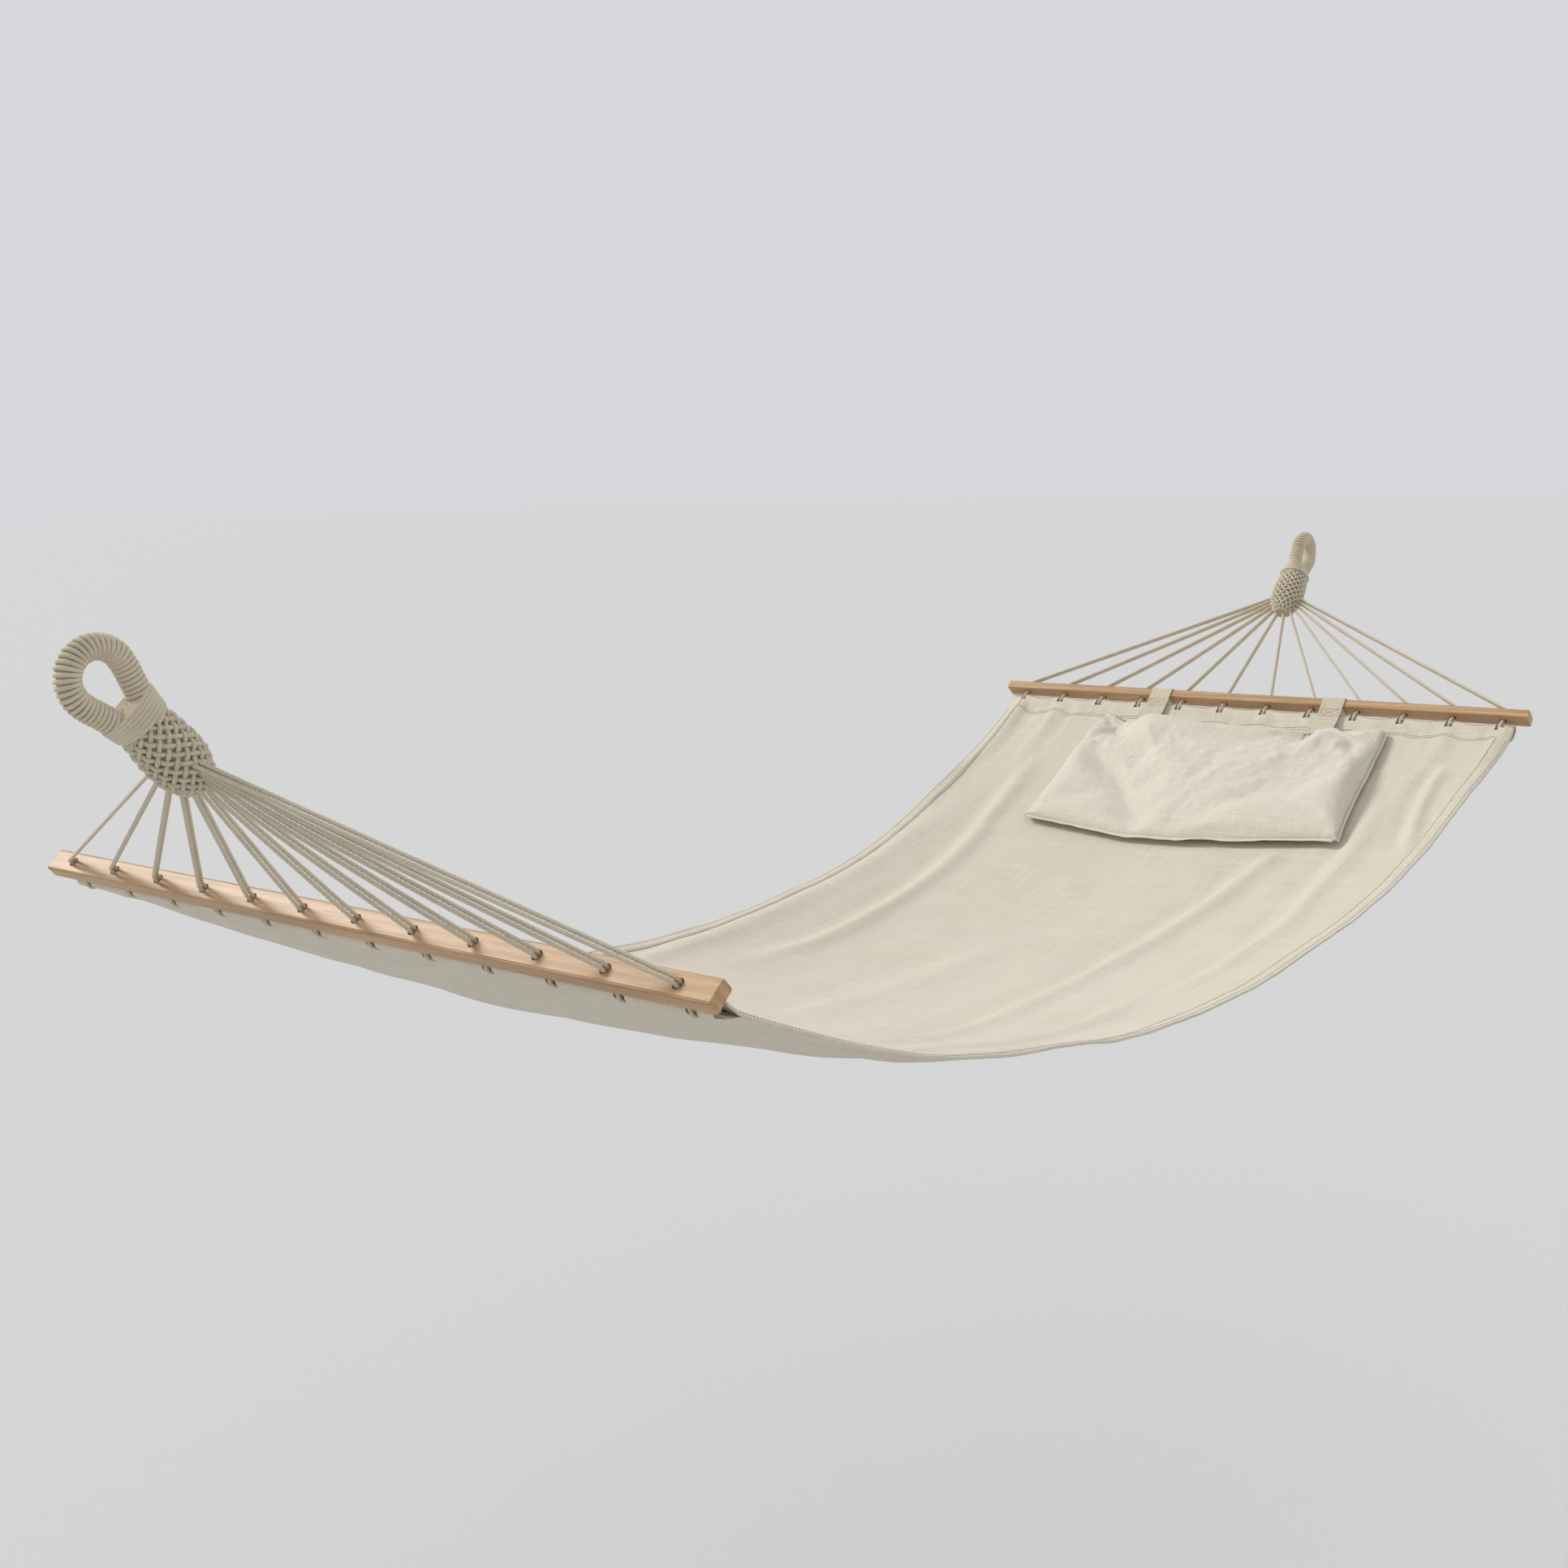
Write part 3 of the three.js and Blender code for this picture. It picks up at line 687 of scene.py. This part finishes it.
def fold_height(x, y, start, end, bow, height, width):
    """One soft crease: a low ridge with a shallow trough beside it, fading at both ends."""
    start, end = np.array(start), np.array(end)
    run = end - start
    length = np.linalg.norm(run)
    run = run / length
    t = ((x - start[0]) * run[0] + (y - start[1]) * run[1]) / length
    side = -(x - start[0]) * run[1] + (y - start[1]) * run[0]
    clipped = np.clip(t, 0, 1)
    side = side - bow * 4 * clipped * (1 - clipped) - 0.008 * soft_noise(x, y, 0.16, 31)
    fade = step_up(t, 0, 0.22) * step_up(1 - t, 0, 0.3)
    ridge = np.exp(-(side / width) ** 2) - 0.55 * np.exp(-((side + 1.7 * width) / (1.5 * width)) ** 2)
    return height * fade * ridge


HEM_SLEEVE = HEM_ROPE_RADIUS + 0.0019
HEM_SEAM = 0.028
NOTCH_HALF = 0.0062
NOTCH_DEPTH = 0.0128
SCALLOP = 0.008
SLEEVE_LEAN = math.atan((SAG + HEM_Z - BAR_Z) * SAG_POWER / HEM_X)


def between_loops(y):
    """0 at each cord's bight, 1 half way between two."""
    near_side = np.clip((HEM_HALF_WIDTH - np.abs(y)) / 0.02 + 0.3, 0, 1)
    return np.sin(math.pi * (y - hole_y(0)) / HOLE_PITCH) ** 2 * near_side


def cell_value(y, seed, low, high):
    """A number that changes smoothly from one gap between loops to the next."""
    values = np.random.default_rng(seed).uniform(low, high, HOLE_COUNT + 4)
    at = (hole_y(0) - y) / HOLE_PITCH + 1.5
    return np.interp(at, np.arange(HOLE_COUNT + 4), values)


def hem_shift(y, side):
    """How far the pull of the cloth bows the hem rope from the bar: (towards the bed, down)."""
    pull = between_loops(y) * cell_value(y, 5 if side > 0 else 6, 0.55, 1.25)
    return SCALLOP * pull, 0.25 * SCALLOP * pull


def gathers(x, y):
    """The cloth's fullness, drawn up by the loops and let out into the bed."""
    side = np.sign(x)
    distance = HEM_X - np.abs(x)
    y = y + 0.10 * distance * soft_noise(x, y, 0.12, 3)
    phase = 2 * math.pi * (y - hole_y(0)) / HOLE_PITCH
    size = np.where(side > 0, cell_value(y, 7, 0.4, 1.5), cell_value(y, 8, 0.4, 1.5))
    wave = np.cos(phase) + 0.35 * np.cos(2 * phase + 0.8)
    fade = np.exp(-distance / (0.055 + 0.05 * size)) * step_up(distance, -0.004, 0.03)
    fine = np.cos(3.1 * phase + 2.5 * soft_noise(x, y, 0.05, 9)) * np.exp(-distance / 0.045)
    return 0.0058 * size * wave * fade + 0.0014 * fine * step_up(distance, 0.002, 0.03)


def sheet_height(x, y):
    """Height of the canvas with its folds, gathers and slack, x from the bed's middle."""
    z = bed_height(x, y)
    relief = gathers(x, y)
    for fold in FOLDS:
        relief = relief + fold_height(x, y, *fold)
    inside = step_up(HEM_X - np.abs(x), 0.02, 0.20)
    edge = step_up(np.abs(y) / half_width(x), 0.90, 1.0)
    slack = 0.0035 * soft_noise(x, y, 0.21, 1) + 0.0011 * soft_noise(x, y, 0.052, 2)
    ripple = 0.0007 * soft_noise(x, 0 * y, 0.06, 4) + 0.0030 * soft_noise(x, 0 * y, 0.23, 14)
    relief = relief + inside * slack
    relief = relief + edge * ripple
    under = (step_up(x, PILLOW_FRONT - 0.05, PILLOW_FRONT - 0.005)
             * step_up(-x, -PILLOW_REAR - 0.03, -PILLOW_REAR)
             * step_up(PILLOW_HALF_WIDTH + 0.05 - np.abs(y), 0, 0.045))
    return z + relief * (1 - under) - 0.001 * under


def edge_wave(x):
    """The side edges' small waves in plan."""
    return 0.0022 * soft_noise(x, 0 * x, 0.19, 17) * step_up(HEM_X - np.abs(x), 0, 0.1)


def hem_profile(y, side):
    """Rings of (x, z) offsets from the hem rope that carry the sheet round it and back underneath."""
    lean = np.linspace(math.pi / 2 + SLEEVE_LEAN, SLEEVE_LEAN - math.pi / 2, 13)[1:]
    shift, drop = hem_shift(y, side)
    rings = [(HEM_X - shift + HEM_SLEEVE * math.cos(a), HEM_Z - drop + HEM_SLEEVE * math.sin(a))
             for a in lean]
    for d in np.linspace(0.004, HEM_SEAM + 0.005, 8):
        lift = hem_lift(np.full_like(y, d))
        z = sheet_height(side * np.full_like(y, HEM_X - d), y) - drop * np.exp(-d / 0.04) - lift - 0.0014
        rings.append((HEM_X - d - shift * np.exp(-d / 0.05), z))
    return rings


def hem_lift(distance):
    return HEM_SLEEVE * np.cos(math.pi / 2 * np.clip(distance / HEM_SEAM, 0, 1)) ** 1.3


def main_layer(x, y):
    """The sheet's top layer; near each hem it bows with the rope and rises over it."""
    side = np.where(x >= 0, 1, -1)
    distance = HEM_X - np.abs(x)
    shift_h, drop_h = hem_shift(y, 1)
    shift_f, drop_f = hem_shift(y, -1)
    shift = np.where(side > 0, shift_h, shift_f) * np.exp(-distance / 0.05)
    drop = np.where(side > 0, drop_h, drop_f) * np.exp(-distance / 0.04)
    return x - side * shift, sheet_height(x, y) - drop + hem_lift(np.maximum(distance, 0))


def bed_rows():
    """Row places from -1 to 1, with a row on each side of every notch."""
    rows = list(np.linspace(-1, 1, 161))
    cuts = [(hole_y(i) + s * NOTCH_HALF) / HEM_HALF_WIDTH for i in range(HOLE_COUNT) for s in (-1, 1)]
    rows = [r for r in rows if min(abs(r - c) for c in cuts) > 0.0035]
    return np.array(sorted(rows + cuts))


def make_bed():
    rows = bed_rows()
    fine = HEM_X - np.array([0, 0.003, 0.006, 0.0095, NOTCH_DEPTH, 0.017, 0.021, 0.025, 0.029, 0.034])
    body = np.linspace(-(HEM_X - 0.040), HEM_X - 0.040, 311)
    columns = np.concatenate([-fine, body, fine[::-1]])
    X, T = np.meshgrid(columns, rows, indexing="ij")
    Y = T * (half_width(X) + edge_wave(X))
    moved, Z = main_layer(X, Y)
    top = np.stack([moved, Y, Z], axis=-1)
    hem_y = rows * HEM_HALF_WIDTH
    wraps = {}
    for side in (1, -1):
        wraps[side] = np.stack([np.stack([side * x, hem_y, z], axis=-1) for x, z in hem_profile(hem_y, side)])
    grid = np.concatenate([wraps[-1][::-1], top, wraps[1]])
    middle = 0.5 * (grid[:-1, :-1] + grid[1:, 1:])
    in_notch = np.zeros(middle.shape[:2], bool)
    for i in range(HOLE_COUNT):
        in_notch |= np.abs(middle[..., 1] - hole_y(i)) < NOTCH_HALF * 0.98
    near_rope = np.abs(middle[..., 0]) > HEM_X - NOTCH_DEPTH
    open_faces = in_notch & near_rope
    faces = [face for face, is_open in zip(grid_faces(*grid.shape[:2], turned=True), open_faces.ravel())
             if not is_open]
    points = (grid + (MID_X, 0, 0)).reshape(-1, 3)
    strips = [side_hem(columns[3:-3], edge) for edge in (1, -1)]
    bed = mesh_object("canvas_sheet", *joined([(points, faces)] + strips), CANVAS)
    solid = bed.modifiers.new("thickness", "SOLIDIFY")
    solid.thickness = 0.0011
    solid.offset = 0
    apply_modifiers(bed)
    smooth_by_angle(bed, 50)
    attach(bed, "bed")
    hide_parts("canvas_bed")
    make_bed_stitches(columns)


SIDE_HEM = 0.022


def side_hem(columns, edge):
    """The side's fold: it leaves the sheet's edge, turns over it and lies on the cloth."""
    insets = (-0.0002, -0.0009, -0.0011, -0.0006, 0.002, 0.008, 0.014, SIDE_HEM - 0.001, SIDE_HEM)
    lifts = (-0.0012, -0.0006, 0.0006, 0.0013, 0.0018, 0.0021, 0.0021, 0.0018, 0.0012)
    rings = []
    for inset, lift in zip(insets, lifts):
        wave = 0.0005 * soft_noise(columns, 0 * columns, 0.02, 21)
        y = edge * (half_width(columns) + edge_wave(columns) - inset - wave)
        x, z = main_layer(columns, y)
        rings.append(np.stack([x + MID_X, y, z + lift + 0.5 * abs(wave)], axis=-1))
    points = np.stack(rings, axis=1).reshape(-1, 3)
    return points, grid_faces(len(columns), len(insets), turned=edge < 0)


def smooth_by_angle(piece, degrees):
    piece.data.polygons.foreach_set("use_smooth", np.ones(len(piece.data.polygons), bool))
    piece.data.set_sharp_from_angle(angle=math.radians(degrees))


def stitches(line, normals, length=0.0034, gap=0.0016, radius=0.00055):
    """A row of sewn stitches: short threads that rise from the cloth and dip back into it."""
    line = resampled_with(line, normals, length + gap)
    parts = []
    for (a, na), (b, nb) in zip(line[:-1], line[1:]):
        run = (b - a) * length / (length + gap)
        n = (na + nb) / np.linalg.norm(na + nb)
        path = [a - n * radius, a + run * 0.2 + n * radius * 0.5,
                a + run * 0.8 + n * radius * 0.5, a + run - n * radius]
        parts.append(tube(np.array(path), radius, 5))
    return joined(parts)


def resampled_with(line, normals, step):
    along = distances(line)
    at = np.arange(0, along[-1], step)
    points = at_distances(line, along, at)
    ups = at_distances(normals, along, at)
    return list(zip(points, ups / np.linalg.norm(ups, axis=1)[:, None]))


def on_sheet(x, y, lift):
    """Points on the sheet's top with their normals."""
    def at(px, py):
        mx, mz = main_layer(px, py)
        return np.stack([mx + MID_X, py, mz], axis=-1)
    d = 0.002
    normal = np.cross(at(x + d, y) - at(x - d, y), at(x, y + d) - at(x, y - d))
    normal /= np.linalg.norm(normal, axis=1)[:, None]
    return at(x, y) + normal * lift, normal


def make_bed_stitches(columns):
    rows = []
    long = columns[7:-7]
    for edge in (1, -1):
        for inset in (0.004, SIDE_HEM - 0.003):
            y = edge * (half_width(long) + edge_wave(long) - inset)
            rows.append(stitches(*on_sheet(long, y, 0.0026)))
    across = np.linspace(-HEM_HALF_WIDTH + 0.004, HEM_HALF_WIDTH - 0.004, 900)
    for side in (1, -1):
        for inset in (HEM_SEAM - 0.002, HEM_SEAM + 0.002):
            rows.append(stitches(*on_sheet(np.full(900, side * (HEM_X - inset)), across, 0.0009)))
    piece = mesh_object("canvas_stitching", *joined(rows), THREAD)
    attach(piece, "bed")


def make_hem_rope(end):
    """The rope in the hem, which the cords' bights hold and the cloth bows between them."""
    y = np.linspace(-HEM_HALF_WIDTH + 0.002, HEM_HALF_WIDTH - 0.002, 700)
    shift, drop = hem_shift(y, end.side)
    line = np.stack([MID_X + end.side * (HEM_X - shift), y, HEM_Z - drop], axis=1)
    piece = mesh_object(f"{end.label}_hem_rope_laid", *laid_rope(line, HEM_ROPE_RADIUS, 3.4, 12), ROPE)
    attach(piece, "bed")
    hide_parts(f"{end.label}_hem_rope")


# ---- The pillow ----
PILLOW_INSET = 0.004
PILLOW_FLANGE = 0.011
PILLOW_COLUMNS, PILLOW_ROWS = 60, 100
PILLOW_REST = 0.003  # its underside above the bed's middle surface
RIM_RAISE = 0.006  # how much higher its sewn rim lies
CROWN_BEFORE_SWELL = 0.046  # its thickness when the simulation starts
PILLOW_SKEW = 0.030  # how far its front hangs to the right of its rear
PILLOW_FILLED = 0.060  # its greatest thickness
SWELL_FRAMES = 24
SWELL_LIMIT = 0.026
PILLOW_MIDDLE = (PILLOW_REAR + PILLOW_FRONT + PILLOW_FLANGE) / 2


def pillow_start(height):
    """Two panels that share their rim, crowned between it.

    Gives the points, the faces, the rim's four sides, and for each place on the panels the upper
    point, the lower point and how far in from the rim it is.
    """
    a = np.linspace(-1, 1, PILLOW_COLUMNS + 1)
    b = np.linspace(-1, 1, PILLOW_ROWS + 1)
    A, B = np.meshgrid(a, b, indexing="ij")
    half_length = (PILLOW_REAR - PILLOW_FRONT - PILLOW_FLANGE) / 2 - PILLOW_INSET
    x = PILLOW_MIDDLE + A * (half_length - 0.007 * (1 - B * B))
    y = B * (PILLOW_HALF_WIDTH - PILLOW_INSET - 0.008 * (1 - A * A)) + PILLOW_SKEW * (A - 1) / 2
    crown = np.sqrt(np.clip((1 - np.abs(A) ** 2.6) * (1 - np.abs(B) ** 4), 0, 1))
    inner = np.clip(crown * 1.6, 0, 1)
    base = bed_height(x, y) + PILLOW_REST + RIM_RAISE * (1 - inner)
    top = base + height * crown
    on_rim = (np.abs(A) == 1) | (np.abs(B) == 1)
    n = A.size
    upper = np.arange(n).reshape(A.shape)
    lower = upper.copy()
    lower[~on_rim] = n + np.arange((~on_rim).sum())
    points = np.concatenate([np.stack([x, y, top], axis=-1).reshape(-1, 3),
                             np.stack([x, y, base], axis=-1)[~on_rim]])
    points[:, 0] += MID_X
    faces = []
    for i in range(PILLOW_COLUMNS):
        for j in range(PILLOW_ROWS):
            faces.append((upper[i, j], upper[i + 1, j], upper[i + 1, j + 1], upper[i, j + 1]))
            faces.append((lower[i, j], lower[i, j + 1], lower[i + 1, j + 1], lower[i + 1, j]))
    rim = {"front": upper[0], "rear": upper[-1], "right": upper[:, 0], "left": upper[:, -1]}
    return points, faces, rim, (upper.ravel(), lower.ravel(), inner.ravel())


def bed_collider():
    x = np.linspace(PILLOW_FRONT - 0.12, PILLOW_REAR + 0.02, 60)
    y = np.linspace(-0.40, 0.40, 80)
    X, Y = np.meshgrid(x, y, indexing="ij")
    points = np.stack([X + MID_X, Y, bed_height(X, Y) + 0.0005], axis=-1).reshape(-1, 3)
    bed = mesh_object("bed_collider", points, grid_faces(len(x), len(y), turned=True), CANVAS)
    bed.modifiers.new("hit", "COLLISION")
    bed.collision.thickness_outer = 0.0018
    bed.collision.cloth_friction = 12
    return bed


def inflate(pillow, start, pinned):
    """Blows the sewn panels up on the bed, held by the straps' stitching."""
    bed = bed_collider()
    group = pillow.vertex_groups.new(name="sewn")
    group.add([int(i) for i in pinned], 1.0, "REPLACE")
    cloth = pillow.modifiers.new("cloth", "CLOTH")
    settings = cloth.settings
    settings.quality = 7
    settings.mass = 0.25
    settings.tension_stiffness = settings.compression_stiffness = 22
    settings.shear_stiffness = 9
    settings.bending_stiffness = 0.35
    settings.tension_damping = settings.compression_damping = 12
    settings.bending_damping = 2
    settings.shrink_min = -0.05
    settings.use_pressure = True
    settings.uniform_pressure_force = 0.55
    settings.effector_weights.gravity = 0
    settings.vertex_group_mass = "sewn"
    cloth.collision_settings.distance_min = 0.0015
    cloth.collision_settings.collision_quality = 2
    scene = bpy.context.scene
    cloth.point_cache.frame_start, cloth.point_cache.frame_end = 1, SWELL_FRAMES
    for step in range(1, SWELL_FRAMES + 1):
        scene.frame_set(step)
    apply_modifiers(pillow)
    scene.frame_set(1)
    bpy.data.objects.remove(bed)
    ended = np.array([v.co for v in pillow.data.vertices])
    far = np.linalg.norm((ended - start)[:, :2], axis=1)
    kept = np.minimum(1, SWELL_LIMIT / np.maximum(far, 1e-9))[:, None]
    ended[:, :2] = start[:, :2] + (ended - start)[:, :2] * kept
    return ended


def settle(points, pairs):
    """Lays the swollen cushion's underside down on the bed and keeps its thickness."""
    upper, lower, inner = pairs
    thickness = points[upper, 2] - points[lower, 2]
    thickness *= min(1.0, PILLOW_FILLED / float(thickness.max()))
    for index, lift in ((lower, 0 * thickness), (upper, thickness)):
        x, y = points[index, 0] - MID_X, points[index, 1]
        points[index, 2] = bed_height(x, y) + PILLOW_REST + RIM_RAISE * (1 - inner) + lift
    return points


def make_pillow():
    height = CROWN_BEFORE_SWELL
    start, faces, rim, pairs = pillow_start(height)
    pillow = mesh_object("pillow_cushion", start, faces, PILLOW)
    rear = rim["rear"]
    held = [i for i in rear if abs(abs(start[i, 1]) - STRAP_Y) < STRAP_WIDTH / 2]
    ended = settle(inflate(pillow, start, held), pairs)
    for vertex, point in zip(pillow.data.vertices, ended):
        vertex.co = point
    pillow.vertex_groups.clear()
    fine = pillow.modifiers.new("fine", "SUBSURF")
    fine.levels = fine.render_levels = 1
    apply_modifiers(pillow)
    points = np.array([v.co for v in pillow.data.vertices])
    lines = {side: points[index] for side, index in rim.items()}
    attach(pillow, "pillow")
    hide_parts("pillow_cover", "pillow_filling")
    make_pillow_edges(lines)
    return lines["rear"]


def make_pillow_edges(lines):
    """The sewn edge round the cushion: a flat hem along the front, a narrow one elsewhere."""
    middle = np.array([MID_X + PILLOW_MIDDLE, 0.0, 0.0])
    strips, threads = [], []
    for side, width in (("front", PILLOW_FLANGE), ("left", 0.004), ("right", 0.004), ("rear", 0.004)):
        line = resampled(lines[side], 0.0035)
        tangent = np.gradient(line, axis=0)
        out = np.cross(tangent, (0, 0, 1))
        out /= np.linalg.norm(out, axis=1)[:, None]
        if ((line - middle) * out)[:, :2].sum() < 0:
            out = -out
        x, y = line[:, 0], line[:, 1]
        wave = soft_noise(x, y, 0.045, 41) + 0.5 * soft_noise(x, y, 0.018, 42)
        rings = []
        for share in np.linspace(-0.3, 1, 7):
            ring = line + out * width * share
            rise = 0.0016 * wave * max(share, 0) - 0.0012 * max(share, 0)
            floor = bed_height(ring[:, 0] - MID_X, ring[:, 1]) + 0.0030
            ring[:, 2] = np.maximum(ring[:, 2] + rise, floor + 0.0008)
            rings.append(ring)
        n = len(line)
        upper = [r + (0, 0, 0.0011) for r in rings]
        lower = [r - (0, 0, 0.0011) for r in reversed(rings)]
        loop = upper + [rings[-1] + out * 0.0011] + lower
        faces = grid_faces(len(loop), n)
        for end in (0, n - 1):
            side_face = [k * n + end for k in range(len(loop))]
            faces.append(tuple(side_face if end else side_face[::-1]))
        strips.append((np.concatenate(loop), faces))
        up = np.tile([0.0, 0.0, 1.0], (n, 1))
        threads.append(stitches(upper[3] + (0, 0, 0.0003), up, 0.003, 0.0014, 0.00045))
    for name, parts, material in (("pillow_hem", strips, PILLOW), ("pillow_stitching", threads, THREAD)):
        piece = mesh_object(name, *joined(parts), material)
        if name == "pillow_hem":
            smooth_by_angle(piece, 60)
        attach(piece, "pillow")


# ---- The pillow's straps ----
STRAP_CLEARANCE = 0.0014  # from the bar's faces to the middle of the webbing
STRAP_SLACK = 0.0025  # how far it hangs below a straight line
STRAP_COLUMNS, STRAP_ROWS = 13, 110
SEAM_POINTS = 12  # along each line of the box-and-cross stitching


def rear_seam(rear, y):
    """The point on the pillow's rear seam at y."""
    return np.array([np.interp(y, rear[:, 1], rear[:, 0]), y, np.interp(y, rear[:, 1], rear[:, 2])])


def make_strap(rear, side, y):
    """One webbing strap: from the pillow's rear seam over and round the bar, sewn back on itself."""
    head = ENDS[0]
    a = BAR_THICKNESS / 2 + STRAP_CLEARANCE
    b = BAR_WIDTH / 2 + STRAP_CLEARANCE
    ys = y + np.linspace(-STRAP_WIDTH / 2, STRAP_WIDTH / 2, STRAP_COLUMNS)
    rows = []
    for yi in ys:
        seam = rear_seam(rear, yi)
        loop = head.place([(-a, 0, b), (a, 0, b), (a, 0, -b), (-a, 0, -b), (-a - 0.0004, 0, b - 0.005)])
        loop[:, 1] = yi
        toward = (seam - loop[0]) / np.linalg.norm(seam - loop[0])
        under = np.array([toward[2], 0, -toward[0]])
        under = under if under[2] < 0 else -under
        tucked = seam + (-0.009, 0, -0.001)
        slack = (seam + loop[0]) / 2 + under * STRAP_SLACK
        returned = [loop[0] + toward * 0.006 + under * 0.0023, loop[0] + toward * 0.024 + under * 0.0026]
        rows.append(rounded([tucked, seam, slack] + list(loop) + returned, 0.004))
    grid = np.stack([evenly_split(np.array(r), STRAP_ROWS) for r in rows], axis=1)
    faces = grid_faces(STRAP_ROWS, STRAP_COLUMNS)
    strap = mesh_object(f"strap_{side}", grid.reshape(-1, 3), faces, WEBBING)
    solid = strap.modifiers.new("thickness", "SOLIDIFY")
    solid.thickness = 0.0017
    solid.offset = 0
    apply_modifiers(strap)
    smooth_by_angle(strap, 50)
    flip = head.place([(-a, 0, b)])[0]
    flip[1] = y
    seam = rear_seam(rear, y)
    down = (seam - flip) / np.linalg.norm(seam - flip)
    up = np.array([-down[2], 0, down[0]])
    up = up if up[2] > 0 else -up
    half = np.array([0, STRAP_WIDTH / 2 - 0.004, 0])
    near, far = flip + down * 0.006, flip + down * 0.021
    corners = [near - half, near + half, far + half, far - half]
    box = []
    for first, last in ((0, 1), (1, 2), (2, 3), (3, 0), (0, 2), (1, 3)):
        line = np.linspace(corners[first], corners[last], SEAM_POINTS)
        along = np.linalg.norm((line - flip) * (1, 0, 1), axis=1) / np.linalg.norm(seam - flip)
        line = line + up * 0.0011 - np.outer(np.minimum(along, 1 - along) * 2 * STRAP_SLACK, up)
        box.append(stitches(line, np.tile(up, (SEAM_POINTS, 1)), 0.0026, 0.0012, 0.00045))
    thread = mesh_object(f"strap_stitching_{side}", *joined(box), THREAD)
    for piece in (strap, thread):
        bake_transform(piece)
    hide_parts(f"strap_loop_{side}", f"strap_tab_{side}")


# ---- Stage ----
FLOOR_DROP = 1.0  # below the hammock's lowest point
FLOOR_SIZE = 120.0  # from the middle to each side
STAGE_LIGHTS = (  # name, place from the middle, angle in degrees, power, colour
    ("key", (-0.9, 3.0, 2.3), 16, 2.1, (1.0, 0.965, 0.91)),
    ("kick", (3.4, -1.2, 1.5), 30, 0.35, (1, 1, 1)),
)


def make_stage():
    floor_z = CAD_BOX[0].z - FLOOR_DROP
    size = FLOOR_SIZE
    paint = Nodes("floor_paint", Roughness=0.9, Specular_IOR_Level=0.1)
    paint.shader.inputs["Base Color"].default_value = (0.60, 0.602, 0.605, 1)
    floor = mesh_object("floor", [(-size, -size, floor_z), (size, -size, floor_z), (size, size, floor_z),
                                  (-size, size, floor_z)], [(0, 1, 2, 3)], paint.material)
    world = bpy.data.worlds.new("studio")
    world.use_nodes = True
    world.node_tree.nodes["Background"].inputs["Color"].default_value = (0.955, 0.97, 1.0, 1)
    world.node_tree.nodes["Background"].inputs["Strength"].default_value = 0.70
    bpy.context.scene.world = world
    bpy.context.scene.view_settings.view_transform = "Standard"
    middle = Vector((MID_X, 0, BAR_Z))
    for name, place, angle, power, colour in STAGE_LIGHTS:
        light = bpy.data.lights.new(name, "SUN")
        light.angle = math.radians(angle)
        light.energy = power
        light.color = colour
        lamp = bpy.data.objects.new(name, light)
        bpy.context.scene.collection.objects.link(lamp)
        lamp.location = middle + Vector(place)
        lamp.rotation_euler = (middle - lamp.location).to_track_quat("-Z", "Y").to_euler()


make_camera()
for hammock_end in ENDS:
    make_cords(hammock_end)
    make_bar(hammock_end)
    make_knot(hammock_end)
    make_eye(hammock_end)
    make_hem_rope(hammock_end)
make_bed()
cushion_rear = make_pillow()
for strap_side, strap_y in (("left", STRAP_Y), ("right", -STRAP_Y)):
    make_strap(cushion_rear, strap_side, strap_y)
make_stage()
